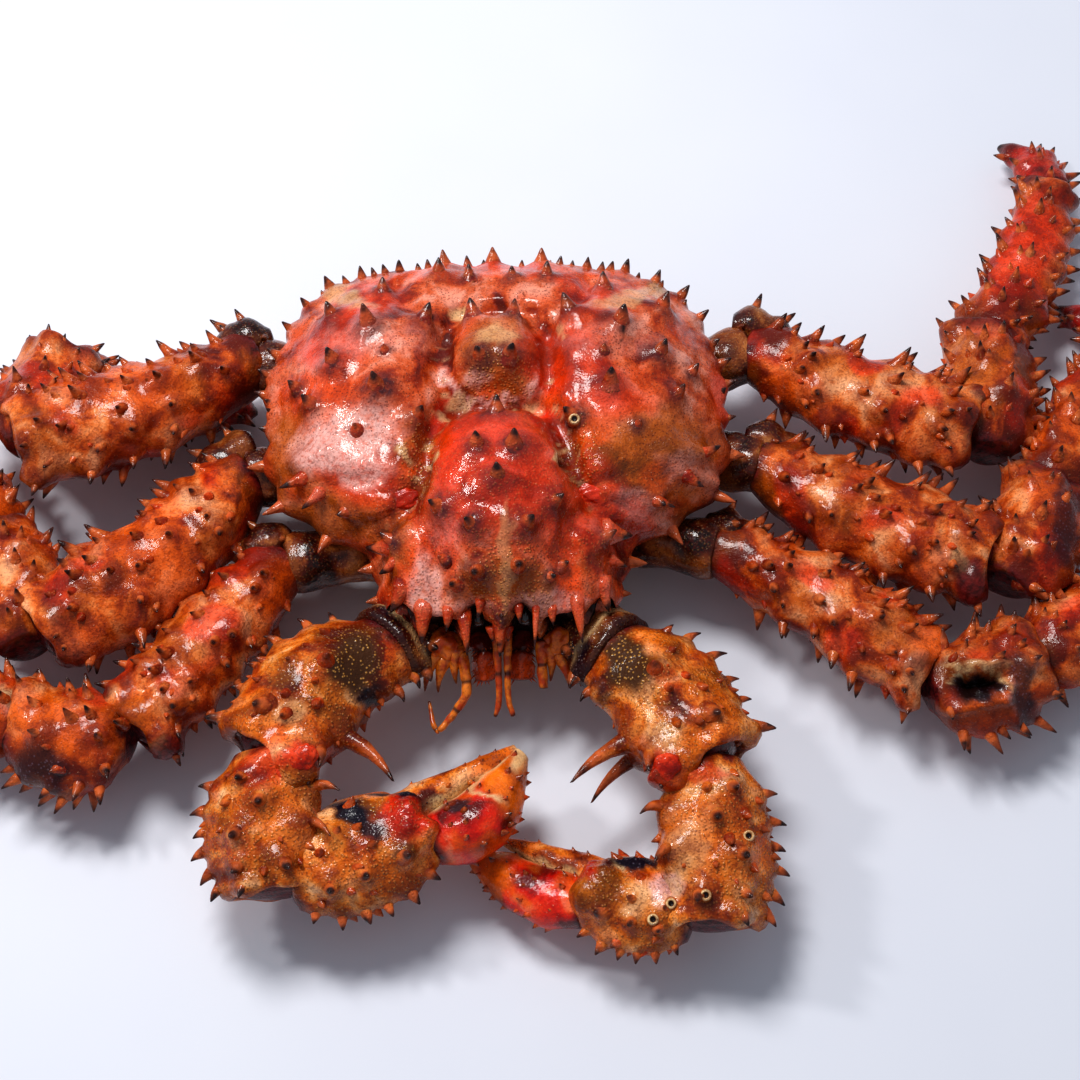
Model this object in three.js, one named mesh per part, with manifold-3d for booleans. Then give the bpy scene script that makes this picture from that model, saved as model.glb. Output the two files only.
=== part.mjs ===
// A whole cooked king crab resting on its belly: a spiny carapace, two claws folded in front of the mouth and
// three walking legs on each side, with every shell segment a solid of its own.
//
// Millimetres. +X is the crab's left, +Y its tail, +Z up. The crab is laid out around the middle of its
// carapace; the finished group is then moved so that the origin is the centre of its footprint.

import * as THREE from "three";
import { mergeVertices } from "three/addons/utils/BufferGeometryUtils.js";
import Module from "manifold-3d";

const wasm = await Module();
wasm.setup();

const DEGREE = Math.PI / 180;

// ---------------------------------------------------------------- driving dimensions

const CARAPACE_HALF_WIDTH = 90; // across the branchial lobes, without spines
const CARAPACE_FLOOR = 31; // height of the carapace's lower skin
const BODY_TURN = 1.7; // degrees that the body is twisted against its limbs
const SEGMENT_GAP = 0.4; // clearance kept between neighbouring pieces
const FLOOR_CLEARANCE = 0.4; // no spine reaches lower than this
const THORAX_ROOF = CARAPACE_FLOOR - SEGMENT_GAP;
const FLAP_THICKNESS = 6; // tail flap folded under the thorax

const SMALLEST_SPINE = 6; // rows of shorter spines are left to the surface texture
const SLIM_SPINE = 9.5; // spines shorter than this have three sides, the others four
const SPINE_WIDTH = 0.22; // base radius of a leg's spine as a share of its height
const SPINE_ROOT = 2.2; // how deep a spine's base is sunk in the shell
const ROW_LEAN = 0.45; // how far the spines of a leg lean towards its toe
const DACTYL_HOOK = 0.14; // sagitta of a toe, as a share of its length
const ISCHIUM_ROOT = { along: -9, beside: 8 }; // from the root of the merus
const ISCHIUM_END = { along: 12, beside: 12 };
const POLLEX_OFFSET = 9; // the fixed finger starts this far from the palm's middle line
const THUMB_OFFSET = 6; // and the moving finger this far on the other side

// Corners around each shell, and rings of them along it.
const SIDES = { leg: 8, ischium: 6, claw: 9, finger: 7, pollex: 6, thorax: 8, tail: 8, feeler: 5 };
const RINGS = {
  coxa: 3, ischium: 3, merus: 5, carpus: 5, propodus: 4, dactyl: 4,
  clawCoxa: 3, claw: 6, palm: 5, finger: 5, tail: 4,
};

// ---------------------------------------------------------------- body

// Carapace stations from the snout to the tail: [y, half width share, crown height, margin height].
const CARAPACE_STATIONS = [
  [-92, 0.3, 53, 44],
  [-87, 0.41, 61, 43],
  [-78, 0.48, 70, 42],
  [-66, 0.51, 76, 42],
  [-54, 0.54, 79, 42],
  [-44, 0.68, 80, 43],
  [-34, 0.86, 80, 44],
  [-18, 0.97, 79, 45],
  [2, 1.0, 78, 46],
  [22, 1.0, 77, 47],
  [40, 0.95, 75, 48],
  [54, 0.88, 71, 49],
  [65, 0.77, 66, 49],
  [73, 0.61, 60, 48],
  [78, 0.36, 53, 46],
];
const CROWN_SHARES = [0, 0.13, 0.26, 0.4, 0.56, 0.75, 0.91, 1]; // of the half width, from the middle outwards

// Swellings of the carapace: [x, y, half length across, half length along, height]; x > 0 come in pairs.
const SWELLINGS = [
  [0, -42, 30, 35, 9.5], // gastric dome
  [0, -73, 20, 16, 4], // brow behind the snout
  [0, 20, 19, 20, 8], // cardiac block
  [52, 16, 36, 40, 6], // branchial lobes
  [36, -66, 11, 20, 3], // cheeks beside the snout
  [74, -24, 16, 12, 4], // shoulders
];

// Grooves between the regions, as paths on the +X half: each is mirrored.
const GROOVES = [
  { depth: 6, halfWidth: 5, path: [[0, -4], [14, -3], [23, -10], [27, -23], [30, -36], [35, -46], [45, -55]] },
  { depth: 4.5, halfWidth: 5, path: [[16, -3], [22, 7], [22, 24], [14, 41], [0, 43]] },
  { depth: 3, halfWidth: 4, path: [[21, 30], [34, 46], [40, 62]] },
  { depth: 3, halfWidth: 4, path: [[34, -42], [50, -36], [66, -34]] },
  { depth: 2.5, halfWidth: 4, path: [[33, -50], [26, -62], [24, -82]] },
];

// Carapace spines on the +X half, [x, y, height]; those with x > 0 are mirrored.
const CROWN_SPINES = [
  [0, -87, 4.5], [0, -48, 7.5], [0, -15, 7.5],
  [7, -77, 6], [8, -65, 6.5], [6.5, -34, 6.5], [19.5, -54, 6.2], [17.5, -79, 4], [22, -72, 3.5], [38.5, -60, 5.5],
  [59, -42, 5.5], [55, -16, 3.5], [30, -13, 6.5], [46, 0, 8], [71, -1, 7], [78, 12, 5.5],
  [5, 11, 6.5], [7, 35, 7], [44, 17, 3], [64, 17, 7], [30, 35, 7.5], [49, 30, 8.5], [66, 43, 7.5],
  [9, 61, 5.5], [22, 63, 6.5], [44, 56, 5.5],
];

// Spines along the +X margin of the carapace, [y, height, rise], rise being how far they point up.
const MARGIN_SPINES = [
  [-84, 9, -0.2], [-72, 8, 0.1], [-58, 12, 0.2], [-41, 14, 0.1], [-28, 14, 0.2], [-12, 11, 0.2], [4, 7, 0.4],
  [19, 9, 0.5], [28, 9.5, 0.6], [37, 9.5, 0.7], [49, 10, 0.8], [59, 9.5, 0.9], [67, 10, 1], [73, 9.5, 1.1],
  [76.5, 9, 1.2],
];

// Spines of the brow and the back edge, on the +X half: [x, y, z, direction, height, radius].
const EDGE_SPINES = [
  [0, -88, 52, [0, -1, -0.9], 13, 5],
  [13, -88, 51, [0, -1, -0.8], 12, 3.4],
  [29, -86, 49, [0.2, -1, -0.4], 10, 3.8],
  [38, -80, 46, [0.9, -1, 0.1], 8, 3],
  [0, 79, 52, [0, 1, 1], 9, 3.4],
  [20, 78, 52, [0.1, 1, 1], 9, 3.2],
];

// Underside, from the head to the tail: [y, half width, floor height] and [y, half width].
const THORAX_STATIONS = [
  [-84, 12, 19], [-76, 22, 11], [-60, 38, 5], [-30, 52, 4], [10, 56, 4], [40, 46, 5], [58, 24, 9],
];
const FLAP_STATIONS = [[-52, 12], [-44, 24], [-25, 36], [5, 42], [35, 40], [56, 30]];
const FLAP_OUTLINE = [[0, 1], [0.55, 1], [1, 0.6], [0.9, 0], [0, 0], [-0.9, 0], [-1, 0.6], [-0.55, 1]];
const TAIL_BASE = { from: [0, 74, 40], to: [0, 62, 10] };

// Face pieces on the +X half. Only the right antenna still has its whip.
const ORBIT = { centre: [9, -90, 50], radii: [4, 8.5, 8] };
const EYE = { centre: [9, -83, 48], radii: [3.8, 4.6, 4.4] };
const MOUTHPART = { path: [[8, -82, 31], [7, -92, 33], [7, -100, 27]], thick: 5.6, thin: 4.6 };
const ANTENNULE = {
  path: [[2.4, -88, 44], [1.8, -104, 37], [2, -112, 32], [3.4, -117, 29]],
  thick: 1.3, thin: 0.8,
};
const ANTENNA_LUMP = { centre: [23, -90, 38], radii: [7, 6, 6] };
const ANTENNA_SPINES = [
  [[26, -94, 36], [30.5, -105, 28]], [[22, -95, 35], [25.5, -106, 28]], [[18, -93, 37], [18, -103, 30]],
];
const ANTENNAE = {
  left: { path: [[15, -90, 39], [15, -97, 36], [15.5, -106, 30]], thick: 2.6, thin: 1.8 },
  right: {
    path: [[16, -93, 37], [14, -106, 32], [15.5, -110, 30], [21, -116, 26], [26, -120, 24], [29, -108, 25]],
    thick: 2.6, thin: 0.7,
  },
};

// ---------------------------------------------------------------- limbs

// Joints of each leg from the body outwards, the offset of the carpus's root from the knee, and for each
// segment its girth and how far its middle bends aside.
const LEGS = {
  left_1: {
    coxa: [50, -34, 25], hip: [87, -45, 31], knee: [166, -99, 28],
    ankle: [209, -91, 25], toe: [280, -45, 17], tip: [300, 4, 7], fold: [2, -5, -1],
    girth: { merus: 0.87, carpus: 1, propodus: 1.05 },
    bend: { merus: [2, 5, 0], carpus: [0, -4, 0] },
  },
  left_2: {
    coxa: [60, 7, 26], hip: [106, -7, 34], knee: [193, -51, 33],
    ankle: [223, -13, 27], toe: [264, 60, 18], tip: [243, 89, 9], fold: [7, -7, -3],
    girth: { merus: 1.02, carpus: 1, propodus: 0.95 },
    bend: { merus: [0, -4, 0], carpus: [2, -5, 0] },
  },
  left_3: {
    coxa: [58, 34, 27], hip: [104, 47, 36], knee: [192, 9, 36],
    ankle: [205, 60, 27], toe: [242, 145, 19], tip: [227, 178, 11], fold: [8, -8, -3],
    girth: { merus: 1, carpus: 1, propodus: 0.95 },
    bend: { merus: [0, -4, 0], carpus: [0, -3, 0], propodus: [5, -1, 0] },
  },
  right_1: {
    coxa: [-48, -42, 25], hip: [-83, -51, 31], knee: [-137, -121, 28],
    ankle: [-181, -117, 25], toe: [-254, -95, 17], tip: [-284, -61, 7], fold: [-3, -4, -1],
    girth: { merus: 0.88, carpus: 1.02, propodus: 1.05 },
    bend: { merus: [-1, 1, 0], carpus: [0, -6, 0] },
  },
  right_2: {
    coxa: [-58, -6, 26], hip: [-101, -13, 34], knee: [-176, -83, 34],
    ankle: [-202, -38, 27], toe: [-247, 38, 18], tip: [-242, 84, 8], fold: [-6, -5, -2],
    girth: { merus: 1.1, carpus: 1.02, propodus: 1 },
    bend: { merus: [5, -4, 0], carpus: [2, 0, 0] },
  },
  right_3: {
    coxa: [-57, 30, 27], hip: [-100, 40, 38], knee: [-191, -3, 44],
    ankle: [-182, 44, 31], toe: [-127, 31, 12], tip: [-104, 38, 6], fold: [0, 2, -4],
    girth: { merus: 1.06, carpus: 0.95, propodus: 0.85 },
    bend: { merus: [0, -4, 0], carpus: [-2, 0, 0], propodus: [0, -8, -4] },
  },
};

// The same for the claws, whose palm runs from its heel to the hinge of the two fingers.
const CLAWS = {
  left: {
    coxa: [25, -73, 29], hip: [47, -93, 37], elbow: [80, -141, 40], wrist: [80, -199, 27],
    heel: [72, -195, 25], hinge: [36, -187, 22], pollex: [3, -162, 14], thumb: [-9, -166, 12],
    girth: { merus: 1, carpus: 0.95, palm: 0.82, finger: 0.85 },
    bend: { merus: [2, 2, 0], carpus: [1.5, 0, 0], thumb: [-1, -3, 0] },
  },
  right: {
    coxa: [-25, -73, 29], hip: [-43, -91, 37], elbow: [-85, -139, 40], wrist: [-80, -187, 29],
    heel: [-74, -182, 28], hinge: [-27, -165, 31], pollex: [8, -132, 31], thumb: [10, -135, 33],
    girth: { merus: 1, carpus: 0.97, palm: 1, finger: 1 },
    bend: { merus: [-5, 4, 0], carpus: [-2.5, 0, 0], thumb: [4, -7, 1] },
  },
};

// Profiles along a segment: [share of the length, half width, half height].
const PROFILES = {
  coxa: [[0, 12, 11], [0.5, 11, 10.5], [0.85, 12.5, 12], [1, 11.5, 11]],
  ischium: [[0, 5, 7], [0.45, 7.5, 9], [1, 4, 5]],
  merus: [[0, 10.5, 10.5], [0.12, 13.5, 13], [0.4, 16.5, 15.5], [0.8, 18, 16], [1, 15, 13]],
  carpus: [[0, 9.5, 9.5], [0.22, 15.5, 14.5], [0.6, 17.5, 16], [0.9, 15.5, 14.5], [1, 12.5, 12]],
  propodus: [[0, 10.5, 10], [0.12, 14, 13], [0.5, 14, 12.5], [0.88, 11.5, 10.5], [1, 9, 8.5]],
  dactyl: [[0, 8, 7], [0.15, 9.5, 7.5], [0.55, 7.4, 6], [0.85, 4.6, 4], [1, 1.8, 1.6]],
  clawCoxa: [[0, 14, 12], [0.5, 15, 13], [1, 17, 15]],
  clawMerus: [[0, 14, 13], [0.25, 19, 17], [0.7, 21, 18], [1, 17.5, 15]],
  clawCarpus: [[0, 13, 12], [0.25, 18, 16], [0.65, 21, 18], [1, 18, 16]],
  palm: [[0, 13, 13], [0.3, 20, 17], [0.75, 20, 16], [1, 14, 12]],
  pollex: [[0, 9, 9], [0.35, 6.5, 7], [0.7, 4.5, 5], [1, 2, 2]],
  thumb: [[0, 10, 10], [0.3, 13, 11], [0.7, 10, 8.5], [1, 3.5, 3.5]],
  tailBase: [[0, 24, 5], [0.5, 30, 6], [1, 30, 5]],
};

// Rows of spines along a segment: [angle from the crest, first share, last share, count, height].
// Positive angles lie towards the crab's head.
const SPINE_ROWS = {
  ischium: [[-70, 0.25, 0.8, 2, 7.5]],
  merus: [
    [-76, 0.1, 0.92, 6, 8.5], [-36, 0.2, 0.82, 4, 5.5], [2, 0.3, 0.88, 2, 6],
    [40, 0.36, 0.92, 3, 6.5], [84, 0.42, 0.96, 4, 8.5], [150, 0.3, 0.85, 3, 5],
  ],
  carpus: [
    [-80, 0.2, 0.92, 3, 8], [-30, 0.35, 0.85, 2, 5.5], [14, 0.3, 0.85, 2, 6.5],
    [60, 0.2, 0.95, 2, 8], [92, 0.2, 0.95, 5, 9.5],
  ],
  propodus: [
    [-84, 0.1, 0.9, 4, 6.5], [-30, 0.2, 0.8, 3, 5], [30, 0.12, 0.9, 2, 6],
    [84, 0.06, 0.94, 7, 8.5], [130, 0.2, 0.85, 3, 5.5],
  ],
  dactyl: [[-60, 0.1, 0.5, 2, 5], [80, 0.1, 0.6, 2, 7]],
};

// Single spines of the claws: [share, angle, height, base radius, lean towards the tip, sideways bow].
// Positive angles lie towards the space between the claws.
const CLAW_SPINES = {
  coxa: [[0.85, 88, 8, 3, 0.4, 1], [0.6, 60, 6, 2.6, 0.4, 0]],
  merus: [
    [0.06, 88, 9, 2.6, 0.1, 2], [0.2, 84, 9, 2.4, 0.1, 2], [0.8, 60, 14, 3.5, 0.7, 2],
    [0.95, 66, 10, 3.2, 0.6, 1], [0.42, 6, 9, 5.2, 0, 0], [0.85, -16, 8, 4, 0.3, 0],
    [0.12, -84, 7, 2.1, 0.1, 1], [0.26, -84, 9, 2.6, 0.1, 2], [0.44, -86, 10, 2.7, 0.2, 2],
    [0.6, -92, 8, 2.2, 0.2, 1], [0.76, -90, 7, 2.1, 0.2, 1], [0.97, -78, 12, 3.5, 0.3, 1],
  ],
  carpus: [
    [0.24, -78, 8, 2.6, 0.1, 1], [0.4, -86, 9, 2.7, 0.2, 1], [0.55, -84, 7, 2.4, 0.3, 1],
    [0.68, -86, 9, 2.7, 0.3, 1], [0.82, -84, 9, 2.7, 0.5, 1], [0.94, -76, 9, 2.6, 0.7, 1],
    [0.96, -30, 9, 2.7, 1, 1], [0.2, -22, 8, 2.9, 0.5, 0], [0.38, 0, 9, 3.4, 0.5, 0],
    [0.34, 62, 15, 3.5, 0.3, 3], [0.58, 48, 16, 3.4, 0.6, 3], [0.62, -24, 9, 3.2, 0.3, 0],
    [0.84, -30, 8, 2.9, 0.4, 0], [0.86, 18, 9, 3, 0.4, 0],
  ],
  palm: [
    [0.1, -82, 7, 2.4, 0, 0], [0.26, -86, 8, 2.6, 0.1, 0], [0.42, -86, 8, 2.7, 0.1, 0],
    [0.58, -86, 8, 2.7, 0.1, 0], [0.76, -84, 9, 2.9, 0.1, 0], [0.92, -80, 8, 2.7, 0.2, 0],
    [0.25, -44, 7, 3, 0.1, 0], [0.5, -40, 7, 3, 0.1, 0], [0.8, -36, 8, 4, 0.1, 0],
  ],
};

// The long spines on the inner side of each claw's merus, listed in the same way.
const REACHING_SPINES = {
  left: [[0.62, 84, 30, 5.6, 0.1, 2], [0.68, 108, 26, 4.6, 0.1, 2]],
  right: [[0.62, 84, 29, 5.6, 0.2, 3]],
};

// Colour and roughness of each shell.
const SHELLS = {
  carapace: [0xb03a1c, 0.35],
  leg: [0xb8481e, 0.38],
  claw: [0xb85e26, 0.4],
  finger: [0xc43416, 0.3],
  toe: [0x8a2a1c, 0.4],
  hip: [0x4a2a18, 0.4],
  underside: [0xd2a070, 0.5],
  mouth: [0xb4381c, 0.35],
  feeler: [0x8c4424, 0.4],
  eye: [0x140c0a, 0.15],
};

// ---------------------------------------------------------------- small mathematics

const vector = (point) => new THREE.Vector3(...point);
const STRAIGHT = vector([0, 0, 0]);

// A repeatable number between -1 and 1 for a whole number.
function jitter(seed) {
  const wave = Math.sin(seed * 12.9898 + 78.233) * 43758.5453;
  return 2 * (wave - Math.floor(wave)) - 1;
}

// Values between knots [position, ...values], eased so that the curve is smooth at each knot.
function alongKnots(knots, position) {
  const last = knots.length - 1;
  if (position <= knots[0][0]) return knots[0].slice(1);
  if (position >= knots[last][0]) return knots[last].slice(1);
  const next = knots.findIndex((knot) => knot[0] > position);
  const [before, after] = [knots[next - 1], knots[next]];
  const span = after[0] - before[0];
  const share = (position - before[0]) / span;
  const [s2, s3] = [share ** 2, share ** 3];
  const slope = (index, column) => {
    const [low, high] = [knots[Math.max(index - 1, 0)], knots[Math.min(index + 1, last)]];
    return ((high[column] - low[column]) / (high[0] - low[0])) * span;
  };
  return before.slice(1).map((value, i) => {
    const start = (2 * s3 - 3 * s2 + 1) * value + (s3 - 2 * s2 + share) * slope(next - 1, i + 1);
    const end = (3 * s2 - 2 * s3) * after[i + 1] + (s3 - s2) * slope(next, i + 1);
    return start + end;
  });
}

function distanceToPath(x, y, path) {
  let nearest = Infinity;
  for (let i = 0; i + 1 < path.length; i++) {
    const [[ax, ay], [bx, by]] = [path[i], path[i + 1]];
    const [dx, dy] = [bx - ax, by - ay];
    const share = THREE.MathUtils.clamp(((x - ax) * dx + (y - ay) * dy) / (dx * dx + dy * dy), 0, 1);
    nearest = Math.min(nearest, Math.hypot(x - ax - share * dx, y - ay - share * dy));
  }
  return nearest;
}

// ---------------------------------------------------------------- solids

// A closed skin over rings of points that turn the right-handed way about the direction from start to end.
function loft(start, rings, end) {
  const around = rings[0].length;
  const points = [start, ...rings.flat(), end];
  const at = (ring, step) => 1 + ring * around + (step % around);
  const faces = [];
  for (let step = 0; step < around; step++) {
    faces.push(0, at(0, step + 1), at(0, step));
    for (let ring = 0; ring + 1 < rings.length; ring++) {
      const [a, b] = [at(ring, step), at(ring, step + 1)];
      const [c, d] = [at(ring + 1, step + 1), at(ring + 1, step)];
      faces.push(a, b, c, a, c, d);
    }
    faces.push(points.length - 1, at(rings.length - 1, step), at(rings.length - 1, step + 1));
  }
  const geometry = new THREE.BufferGeometry().setFromPoints(points);
  geometry.setIndex(faces);
  return solidFrom(geometry);
}

function solidFrom(geometry) {
  const bare = geometry.clone();
  bare.deleteAttribute("normal");
  bare.deleteAttribute("uv");
  const merged = mergeVertices(bare, 1e-4);
  const mesh = new wasm.Mesh({
    numProp: 3,
    vertProperties: merged.attributes.position.array,
    triVerts: new Uint32Array(merged.index.array),
  });
  return new wasm.Manifold(mesh);
}

function geometryFrom(solid) {
  const { vertProperties, triVerts } = solid.getMesh();
  const geometry = new THREE.BufferGeometry();
  geometry.setAttribute("position", new THREE.BufferAttribute(vertProperties, 3));
  geometry.setIndex(new THREE.BufferAttribute(triVerts, 1));
  return geometry;
}

function largestBody(solid) {
  return solid.decompose().reduce((best, body) => (body.volume() > best.volume() ? body : best));
}

function ellipsoid(centre, radii, extra = 0) {
  const geometry = new THREE.SphereGeometry(1, 8, 5);
  geometry.scale(...radii.map((radius) => radius + extra));
  geometry.translate(...centre);
  return solidFrom(geometry);
}

// A feeler along a path of points, thinning from one radius to the other.
function feeler({ path, thick, thin }, extra = 0) {
  const points = path.map(vector);
  const last = points.length - 1;
  const side = vector([1, 0.3, 0.2]);
  const rings = points.map((point, index) => {
    const along = points[Math.min(index + 1, last)].clone().sub(points[Math.max(index - 1, 0)]).normalize();
    const up = side.clone().cross(along).normalize();
    side.copy(along).cross(up);
    const radius = thick + ((thin - thick) * index) / last + extra;
    return ringAround(point, up, side, radius, SIDES.feeler);
  });
  const beyond = (end, inner) => end.clone().sub(inner).setLength(0.3 + extra).add(end);
  return loft(beyond(points[0], points[1]), rings, beyond(points[last], points[last - 1]));
}

function ringAround(centre, up, side, radius, sides) {
  return Array.from({ length: sides }, (_, step) => {
    const angle = (2 * Math.PI * step) / sides;
    const point = centre.clone().addScaledVector(up, radius * Math.cos(angle));
    return point.addScaledVector(side, radius * Math.sin(angle));
  });
}

// A spine as a slim cone, or as a bent one where it bows away from its line.
function spineSolid({ root, direction, height, radius, away = STRAIGHT }) {
  const sides = height < SLIM_SPINE ? 3 : 4;
  const up = vector([0, 0, 1]).cross(direction);
  if (up.length() < 0.1) up.set(1, 0, 0);
  up.normalize();
  const side = direction.clone().cross(up);
  const ring = (share, rise) => {
    const centre = root.clone().addScaledVector(direction, rise);
    centre.addScaledVector(away, 4 * share * (1 - share));
    return ringAround(centre, up, side, radius * (1 - share), sides);
  };
  const rings = [ring(0, -SPINE_ROOT)];
  if (away.length() > 1.5) rings.push(ring(0.5, 0.5 * height));
  const foot = root.clone().addScaledVector(direction, -SPINE_ROOT - 0.3);
  return loft(foot, rings, root.clone().addScaledVector(direction, height));
}

function spineBetween(root, tip) {
  const line = vector(tip).sub(vector(root));
  const height = line.length();
  return { root: vector(root), direction: line.normalize(), height, radius: SPINE_WIDTH * height };
}

// A tapering shell segment. Its crest is the side that faces `crest`, and `turn` is 1 or -1 so that positive
// angles always lie on the same side of the crab. `bow` bends the middle away from the straight line.
class Segment {
  constructor({ from, to, profile, crest = [0, 0, 1], turn = 1, bow = [0, 0, 0], scale = 1 }) {
    this.from = vector(from);
    this.to = vector(to);
    this.axis = this.to.clone().sub(this.from).normalize();
    this.side = this.axis.clone().cross(vector(crest)).normalize();
    this.crest = this.side.clone().cross(this.axis);
    this.profile = profile.map(([share, width, height]) => [share, width * scale, height * scale]);
    this.turn = turn;
    this.bow = vector(bow);
  }

  centre(share) {
    return this.from.clone().lerp(this.to, share).addScaledVector(this.bow, 4 * share * (1 - share));
  }

  point(share, angle, extra = 0) {
    const [width, height] = alongKnots(this.profile, share);
    return this.centre(share)
      .addScaledVector(this.side, (width + extra) * Math.sin(angle))
      .addScaledVector(this.crest, (height + extra) * Math.cos(angle));
  }

  normal(share, angle) {
    const step = 0.02;
    const along = this.point(share + step, angle).sub(this.point(share - step, angle));
    const around = this.point(share, angle + step).sub(this.point(share, angle - step));
    return around.cross(along).normalize();
  }

  // The bare shell, grown by `extra` on every side.
  shell(sides, rings, extra = 0) {
    const ringPoints = Array.from({ length: rings }, (_, ring) => {
      const share = 0.5 - 0.5 * Math.cos((Math.PI * ring) / (rings - 1));
      const shift = (2 * share - 1) * extra;
      return Array.from({ length: sides }, (_, step) => {
        const angle = (2 * Math.PI * (step + 0.5)) / sides;
        return this.point(share, angle, extra).addScaledVector(this.axis, shift);
      });
    });
    const dome = (knot) => 0.25 * knot[2] + extra;
    const start = this.centre(0).addScaledVector(this.axis, -dome(this.profile[0]));
    const end = this.centre(1).addScaledVector(this.axis, dome(this.profile.at(-1)));
    return loft(start, ringPoints, end);
  }

  spine(share, degrees, height, radius, lean, bow = 0) {
    const angle = degrees * DEGREE * this.turn;
    const direction = this.normal(share, angle).addScaledVector(this.axis, lean).normalize();
    const away = this.axis.clone().addScaledVector(direction, -this.axis.dot(direction));
    return { root: this.point(share, angle), direction, height, radius, away: away.multiplyScalar(-bow) };
  }

  rowSpines(rows, seed) {
    return rows.flatMap(([degrees, first, last, count, height], row) =>
      Array.from({ length: height < SMALLEST_SPINE ? 0 : count }, (_, index) => {
        const draw = seed + 17 * row + 3 * index;
        const share = first + ((last - first) * (index + 0.35 * jitter(draw))) / Math.max(count - 1, 1);
        const tall = height * (1 + 0.25 * jitter(draw + 1));
        return this.spine(share, degrees + 7 * jitter(draw + 2), tall, SPINE_WIDTH * tall + 0.4, ROW_LEAN);
      }),
    );
  }
}

// ---------------------------------------------------------------- carapace and underside

const carapaceWidth = (y) => CARAPACE_HALF_WIDTH * alongKnots(CARAPACE_STATIONS, y)[0];
const marginHeight = (y) => alongKnots(CARAPACE_STATIONS, y)[2];

// Height of the carapace's upper skin.
function crown(x, y) {
  const [, crest, margin] = alongKnots(CARAPACE_STATIONS, y);
  const edge = Math.min(Math.abs(x) / carapaceWidth(y), 1);
  const arch = Math.sqrt(1 - edge ** 2.6);
  let relief = 0;
  for (const [centreX, centreY, across, along, height] of SWELLINGS) {
    const reach = Math.hypot((Math.abs(x) - centreX) / across, (y - centreY) / along);
    relief += height * Math.exp(-((1.2 * reach) ** 4));
  }
  for (const { depth, halfWidth, path } of GROOVES)
    relief -= depth * Math.exp(-((distanceToPath(Math.abs(x), y, path) / halfWidth) ** 2));
  return margin + (crest - margin) * arch + relief * (1 - edge ** 6);
}

function crownNormal(x, y) {
  const step = 1.5;
  const slopeX = (crown(x + step, y) - crown(x - step, y)) / (2 * step);
  const slopeY = (crown(x, y + step) - crown(x, y - step)) / (2 * step);
  return vector([-slopeX, -slopeY, 1]).normalize();
}

function carapaceShell(extra = 0) {
  const ys = CARAPACE_STATIONS.map(([y]) => y);
  const stations = ys.flatMap((y, index) => (ys[index + 1] - y > 15 ? [y, (y + ys[index + 1]) / 2] : [y]));
  const shares = [...CROWN_SHARES.map((share) => -share).reverse(), ...CROWN_SHARES.slice(1)];
  const rings = stations.map((y) => {
    const width = carapaceWidth(y);
    const depth = marginHeight(y) - CARAPACE_FLOOR;
    const upper = shares.map((share) => {
      const x = width * share + Math.sign(share) * extra * share ** 2;
      return vector([x, y, crown(width * share, y) + extra]);
    });
    const lower = [[0.88, 0.8], [0.45, 1], [-0.45, 1], [-0.88, 0.8]].map(([share, drop]) =>
      vector([share * width, y, marginHeight(y) - depth * drop - extra]),
    );
    return [...upper, ...lower];
  });
  return loft(vector([0, ys[0] - 2, 47]), rings, vector([0, ys.at(-1) + 1.5, 44]));
}

const pair = (x) => (x === 0 ? [0] : [x, -x]);

function carapaceSpines() {
  const crownRows = CROWN_SPINES.filter(([, , height]) => height >= SMALLEST_SPINE);
  const onCrown = crownRows.flatMap(([x, y, height], index) =>
    pair(x).map((side) => {
      const draw = 900 + 5 * index + Math.sign(side);
      const place = [side + (x ? 1.6 * jitter(draw) : 0), y + 1.4 * jitter(draw + 40)];
      const tall = height * (1 + 0.12 * jitter(draw + 80));
      const root = vector([...place, crown(...place)]);
      return { root, direction: crownNormal(...place), height: tall, radius: 0.32 * tall + 0.6 };
    }),
  );
  const onMargin = MARGIN_SPINES.flatMap(([y, height, rise], index) =>
    [1, -1].map((side) => {
      const tall = height * (1 + 0.12 * jitter(700 + 2 * index + side));
      const slope = (carapaceWidth(y + 1) - carapaceWidth(y - 1)) / 2;
      const direction = vector([side, -slope, rise * Math.hypot(1, slope)]).normalize();
      const root = vector([side * (carapaceWidth(y) - 1), y, marginHeight(y) + 1]);
      return { root, direction, height: tall, radius: 0.3 * tall };
    }),
  );
  const onEdge = EDGE_SPINES.flatMap(([x, y, z, [dx, dy, dz], height, radius]) =>
    pair(x).map((side) => {
      const direction = vector([Math.sign(side) * dx, dy, dz]).normalize();
      return { root: vector([side, y, z]), direction, height, radius };
    }),
  );
  return [...onCrown, ...onMargin, ...onEdge];
}

function thoraxShell(extra = 0) {
  const flatten = (value) => Math.sign(value) * Math.min(1, 1.15 * Math.abs(value));
  const rings = THORAX_STATIONS.map(([y, width, floor]) => {
    const middle = (THORAX_ROOF + floor) / 2;
    const depth = (THORAX_ROOF - floor) / 2 + extra;
    return Array.from({ length: SIDES.thorax }, (_, step) => {
      const angle = (2 * Math.PI * (step + 0.5)) / SIDES.thorax;
      return vector([(width + extra) * Math.sin(angle), y, middle + depth * flatten(Math.cos(angle))]);
    });
  });
  const [head, tail] = [THORAX_STATIONS[0][0], THORAX_STATIONS.at(-1)[0]];
  return loft(vector([0, head - 1 - extra, 22]), rings, vector([0, tail + 1 + extra, 20]));
}

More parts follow.
